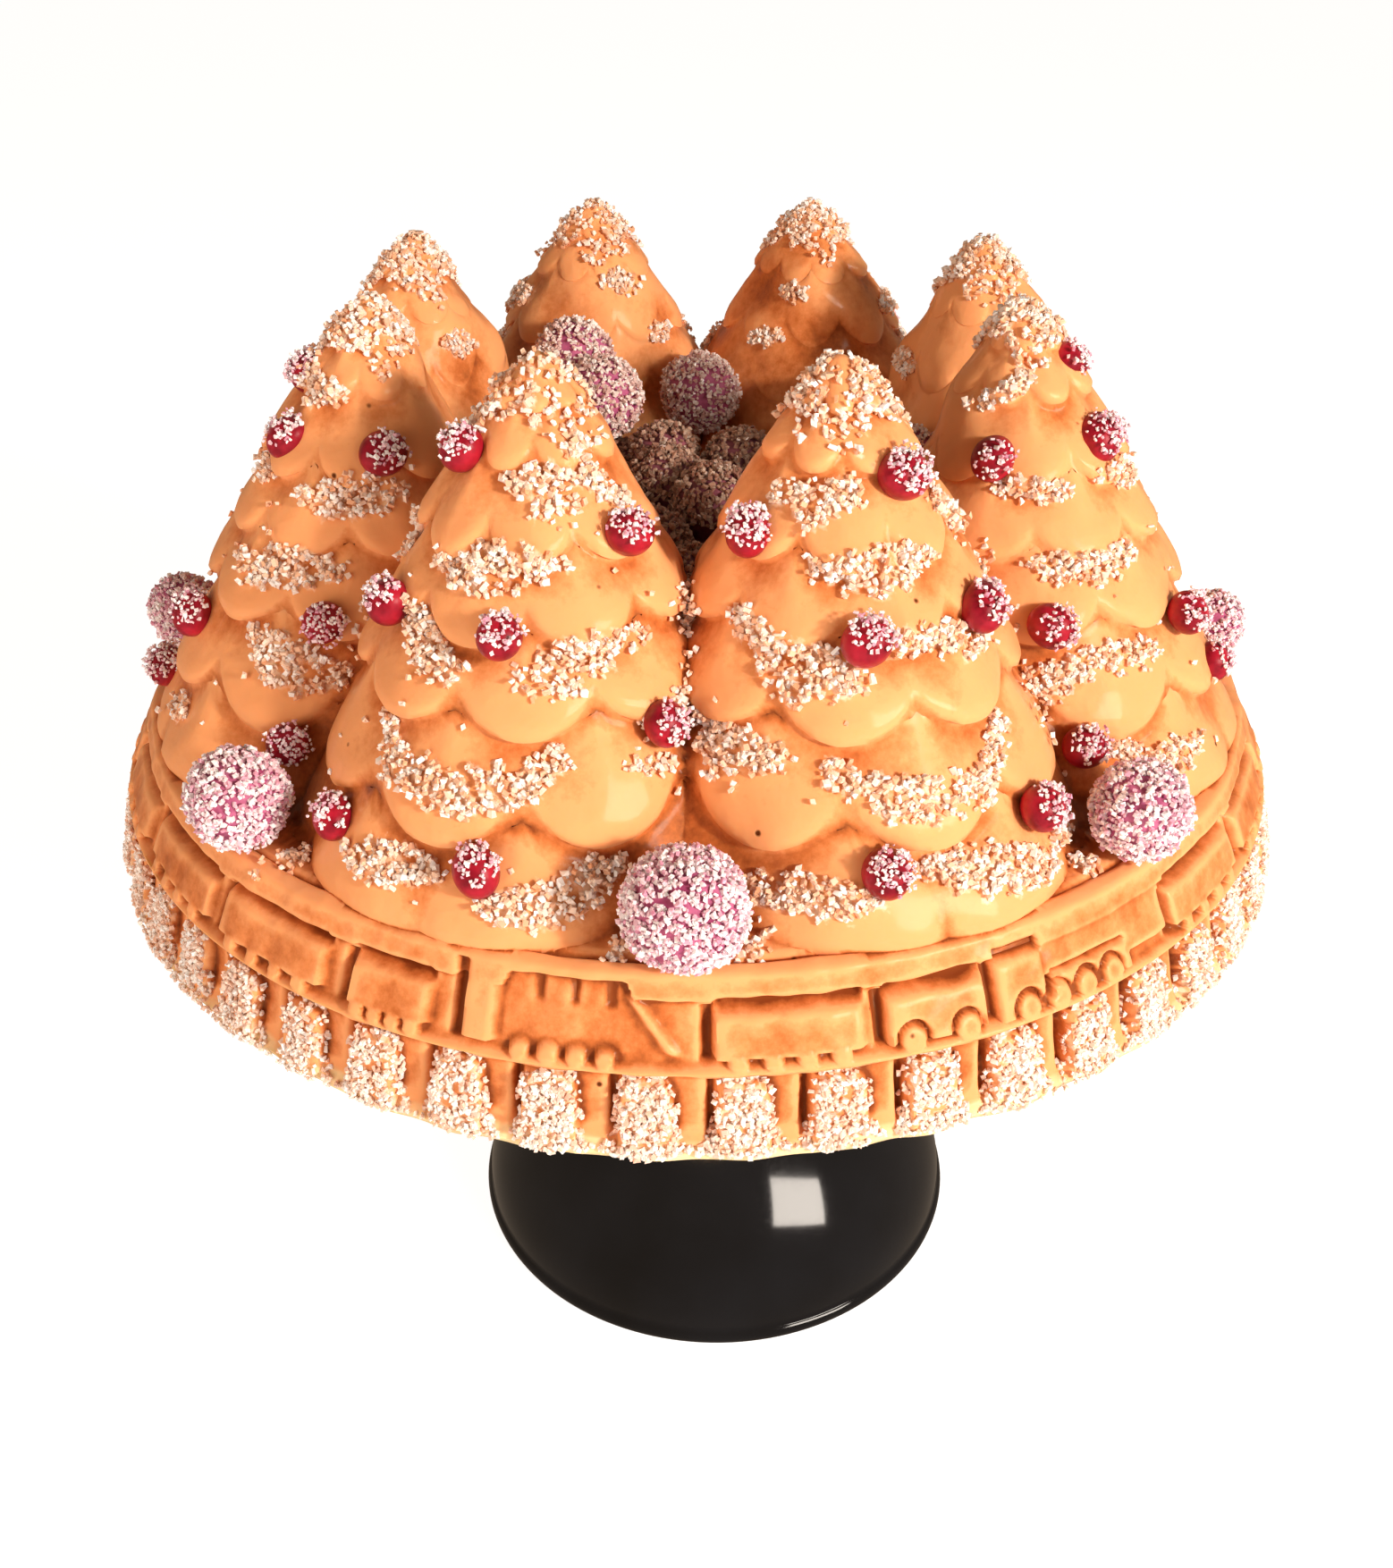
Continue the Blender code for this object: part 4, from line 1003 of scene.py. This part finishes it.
redBerry = {
    "count": 43, "radius": 0.0041, "squash": 0.92, "sunk": 0.0009, "grain": 0.66,
    "grainsPerMm": 2.3,  # on a square millimetre where it is sugared
    "sugarFrom": (0.30, -0.25, 0.50), "bare": (0.35, 0.68),  # the sugar came from above and in front
    # some were pushed deeper into the crust, in mm
    "deeper": {7: 3.0, 8: 1.2, 13: 1.2, 14: 2.5, 19: 2.0, 23: 2.0, 26: 2.5, 30: 2.5, 31: 1.8},
}
found = []
for number in range(1, redBerry["count"] + 1):
    name = f"red_berry_{number:02d}"
    corners = nodePoints(name)
    middle = ballIn(corners)[0]
    out = Vector(corners.mean(axis=0) - middle).normalized()
    draw = np.random.default_rng(200 + number)
    size = redBerry["radius"] * draw.uniform(0.92, 1.05)
    stretch = draw.uniform(1.0, 1.2)
    mesh = ballMesh(name, size, 1.0)
    turn = out.to_track_quat("Z", "Y").to_matrix() @ Matrix.Rotation(draw.uniform(0.0, math.tau), 3, "Z")
    shape = np.array(turn @ Matrix.Diagonal((stretch, 1.0, redBerry["squash"])) @ turn.transposed())
    spin = anySpin(draw)
    place = middle - np.array(out) * (redBerry["sunk"] + 0.001 * redBerry["deeper"].get(number, 0.0))
    mesh.vertices.foreach_set("co", (pointsOf(mesh) @ spin.T @ shape.T + place).ravel())
    pieceOf(f"redBerry{number:02d}", mesh, redSkin, [name])
    ways = grainWays(draw, size, redBerry["grainsPerMm"])
    lean = np.array(redBerry["sugarFrom"]) + np.array(out) + draw.normal(0.0, 0.25, 3)
    lean /= np.linalg.norm(lean)
    keep = ways @ lean > draw.uniform(*redBerry["bare"]) + 0.12 * draw.normal(size=len(ways))
    found.append((place + (ways[keep] * size * 0.97) @ shape.T, ways[keep]))
crystals("sugar_on_red_berries", found, sugarOnBerries, size=redBerry["grain"])

bigBerry = {
    "lump": 0.045, "grain": 0.84,
    "ledge": (range(1, 9), sugarOnBerries, 2.1),  # numbers, sugar and grains on a square millimetre
    "hole": (range(9, 15), dimBerrySugar, 1.7),
}


def lumpy(points, size, number):
    return points * (1.0 - bigBerry["lump"] * (0.5 + 0.5 * waves(points, 1.4 * size, number)))[:, None]


for group in ("ledge", "hole"):
    numbers, coat, grainsPerMm = bigBerry[group]
    found = []
    for number in numbers:
        name = f"big_berry_{number:02d}"
        middle, radius = ballIn(nodePoints(name))
        draw = np.random.default_rng(300 + number)
        size = radius - 0.0002
        mesh = ballMesh(name, size, 1.0, 48, 32)
        skin = lumpy(pointsOf(mesh) @ anySpin(draw).T, size, number)
        mesh.vertices.foreach_set("co", (skin + middle).ravel())
        pieceOf(f"bigBerry{number:02d}", mesh, purpleSkin, [name])
        ways = grainWays(draw, size, grainsPerMm)
        found.append((middle + lumpy(ways * size, size, number), ways))
    crystals(f"sugar_on_{group}_berries", found, coat, lift=0.1, size=bigBerry["grain"])
print("berries made")


# The heap in the hole: berries over a core
heap = {
    "coreTop": 0.0625, "clearance": 0.0012, "grainsPerMm": 1.5,
    "berries": (  # bearing, distance from the axis, height and radius
        (-153.0, 0.0165, 0.0705, 0.0078), (140.0, 0.0150, 0.0700, 0.0082), (-120.0, 0.0075, 0.0690, 0.0080),
        (30.0, 0.0075, 0.0680, 0.0088), (-75.0, 0.0190, 0.0640, 0.0085), (75.0, 0.0195, 0.0645, 0.0084),
        (-28.0, 0.0195, 0.0625, 0.0085), (30.0, 0.0235, 0.0615, 0.0080), (0.0, 0.0300, 0.0600, 0.0080),
        (-133.0, 0.0255, 0.0650, 0.0085), (-58.0, 0.0290, 0.0585, 0.0078), (62.0, 0.0290, 0.0590, 0.0078)),
}
balls = [(around(np.radians(bearing), distance, height), size - 0.0005)
         for bearing, distance, height, size in heap["berries"]]
slope = (hole["topRadius"] - hole["footRadius"]) / hole["topHeight"]
coreMesh = turnedMesh("heap_core", [
    (0.010, heap["coreTop"]), (0.0202, heap["coreTop"] - 0.001),
    (hole["footRadius"] + slope * 0.048 - heap["clearance"], 0.048),
    (hole["footRadius"] - heap["clearance"], 0.0003)], 48)
ballMeshes = []
for number, (middle, size) in enumerate(balls):
    mesh = ballMesh(f"heap_ball_{number}", size, 0.96, 36, 22)
    mesh.vertices.foreach_set("co", (pointsOf(mesh) + middle).ravel())
    ballMeshes.append(mesh)
heapMesh = joined(coreMesh, ballMeshes)
heapMesh.shade_smooth()
pieceOf("berryHeap", heapMesh, shadedSkin, ["berry_heap"])
found = []
for middle, size in balls:
    ways = grainWays(chance, size, heap["grainsPerMm"])
    ways = ways[ways[:, 2] > -0.15]
    spots = middle + ways * size * 0.985
    clear = np.all([np.linalg.norm(spots - other, axis=1) > width * 0.97 for other, width in balls], axis=0)
    found.append((spots[clear], ways[clear]))
crystals("sugar_on_heap", found, shadedSugar)


# Stand: turned foot, stem and plate
stand = {
    "footRadius": 0.0624, "recess": 0.0030, "beadTop": 0.0038, "bead": 0.0016,
    "domeFoot": 0.0613, "domeHeight": 0.0640, "domePower": 1.12,
    "stemRadius": 0.0170, "stemTop": 0.0900, "flareRadius": 0.0480, "flarePower": 2.4,
    "plateRadius": 0.1120, "plateThickness": 0.0065, "plateEdge": 0.0020,
    "shift": 0.0049,  # its axis lies this far towards +X of the cake's
    "columns": 160,
}


def standMesh():
    top, edge = standHeight - 0.0003, stand["plateEdge"]
    profile = [(0.0004, top), (0.060, top)]
    for angle in [0.5 * math.pi * step / 6 for step in range(7)]:
        profile.append((stand["plateRadius"] - edge + edge * math.sin(angle),
                        top - edge + edge * math.cos(angle)))
    profile.append((stand["plateRadius"] - 0.0030, top - stand["plateThickness"]))
    flareTop = top - stand["plateThickness"] - 0.0015
    flare = stand["flareRadius"] - stand["stemRadius"]
    for share in np.linspace(0.0, 1.0, 20):
        profile.append((stand["stemRadius"] + flare * (1 - share) ** stand["flarePower"],
                        flareTop + (stand["stemTop"] - flareTop) * share))
    for share in np.linspace(0.0, 1.0, 36):
        bulge = math.sin(0.5 * math.pi * share) ** stand["domePower"]
        profile.append((stand["stemRadius"] + (stand["domeFoot"] - stand["stemRadius"]) * bulge,
                        stand["domeHeight"] + (stand["beadTop"] - stand["domeHeight"]) * share))
    # a low bead runs round the foot
    for angle in [math.pi * (0.42 - 0.92 * step / 12) for step in range(1, 13)]:
        profile.append((stand["footRadius"] + stand["bead"] * (math.cos(angle) - 1.0),
                        0.5 * stand["beadTop"] * (1.0 + math.sin(angle))))
    profile += [(stand["footRadius"] - 0.0090, 0.0), (stand["footRadius"] - 0.0100, stand["recess"]),
                (0.0004, stand["recess"])]
    profile = [(radius, height - standHeight) for radius, height in profile]
    mesh = turnedMesh("stand", profile, stand["columns"], stand["shift"])
    mesh.shade_smooth()
    mesh.set_sharp_from_angle(angle=math.radians(50.0))
    return mesh


pieceOf("stand", standMesh(), glaze, ["stand"])
print("stand made")


# Plain pale floor and soft studio light
studio = {
    "floor": "#BFBEBC", "floorHalf": 7.0, "floorGlow": 0.90, "surround": "#FFE3C6", "surroundStrength": 0.19,
    "lampRoll": -24.0,
    "lamps": {  # place, aim, width, height, watts, colour
        "sun": ((0.83, -0.80, 0.58), (0.0, 0.0, 0.17), 0.10, 0.10, 14.0, "#FFF4E8"),
        "window": ((0.86, -0.83, 0.60), (0.0, 0.0, 0.17), 0.58, 0.34, 7.7, "#FFF4E8"),
        "fill": ((-0.85, -0.88, 0.36), (0.0, 0.0, 0.15), 1.0, 0.8, 8.8, "#FFE0C6"),
    },
}
floorMaterial, floorShader = newMaterial("pale_floor")
connect(floorMaterial, floorShader, {
    "Base Color": linear(studio["floor"]), "Roughness": 0.7,
    "Emission Color": linear("#FFFFFF"), "Emission Strength": studio["floorGlow"]})
half = studio["floorHalf"]
floorMesh = meshOf("floor", [(-half, -half, 0), (half, -half, 0), (half, half, 0), (-half, half, 0)],
                   [(0, 1, 2, 3)])
floorMesh.materials.append(floorMaterial)
floor = newObject("floor", floorMesh)
floor.visible_glossy = False  # the glaze then stays black, as on a dark table

for name, (place, aim, width, height, watts, colour) in studio["lamps"].items():
    lamp = bpy.data.lights.new(name, "AREA")
    lamp.shape = "RECTANGLE"
    lamp.size = width
    lamp.size_y = height
    lamp.energy = watts
    lamp.color = linear(colour)[:3]
    item = newObject(name, lamp)
    item.location = place
    item.visible_glossy = name == "window"
    roll = Matrix.Rotation(math.radians(studio["lampRoll"]), 3, "Z")
    item.rotation_euler = (facing(place, aim).to_matrix() @ roll).to_euler()
world = bpy.data.worlds.new("studio")
bpy.context.scene.world = world
world.use_nodes = True
surround = world.node_tree.nodes["Background"].inputs
surround["Color"].default_value = linear(studio["surround"])
surround["Strength"].default_value = studio["surroundStrength"]
bpy.context.scene.view_settings.view_transform = "Standard"
print("light set")
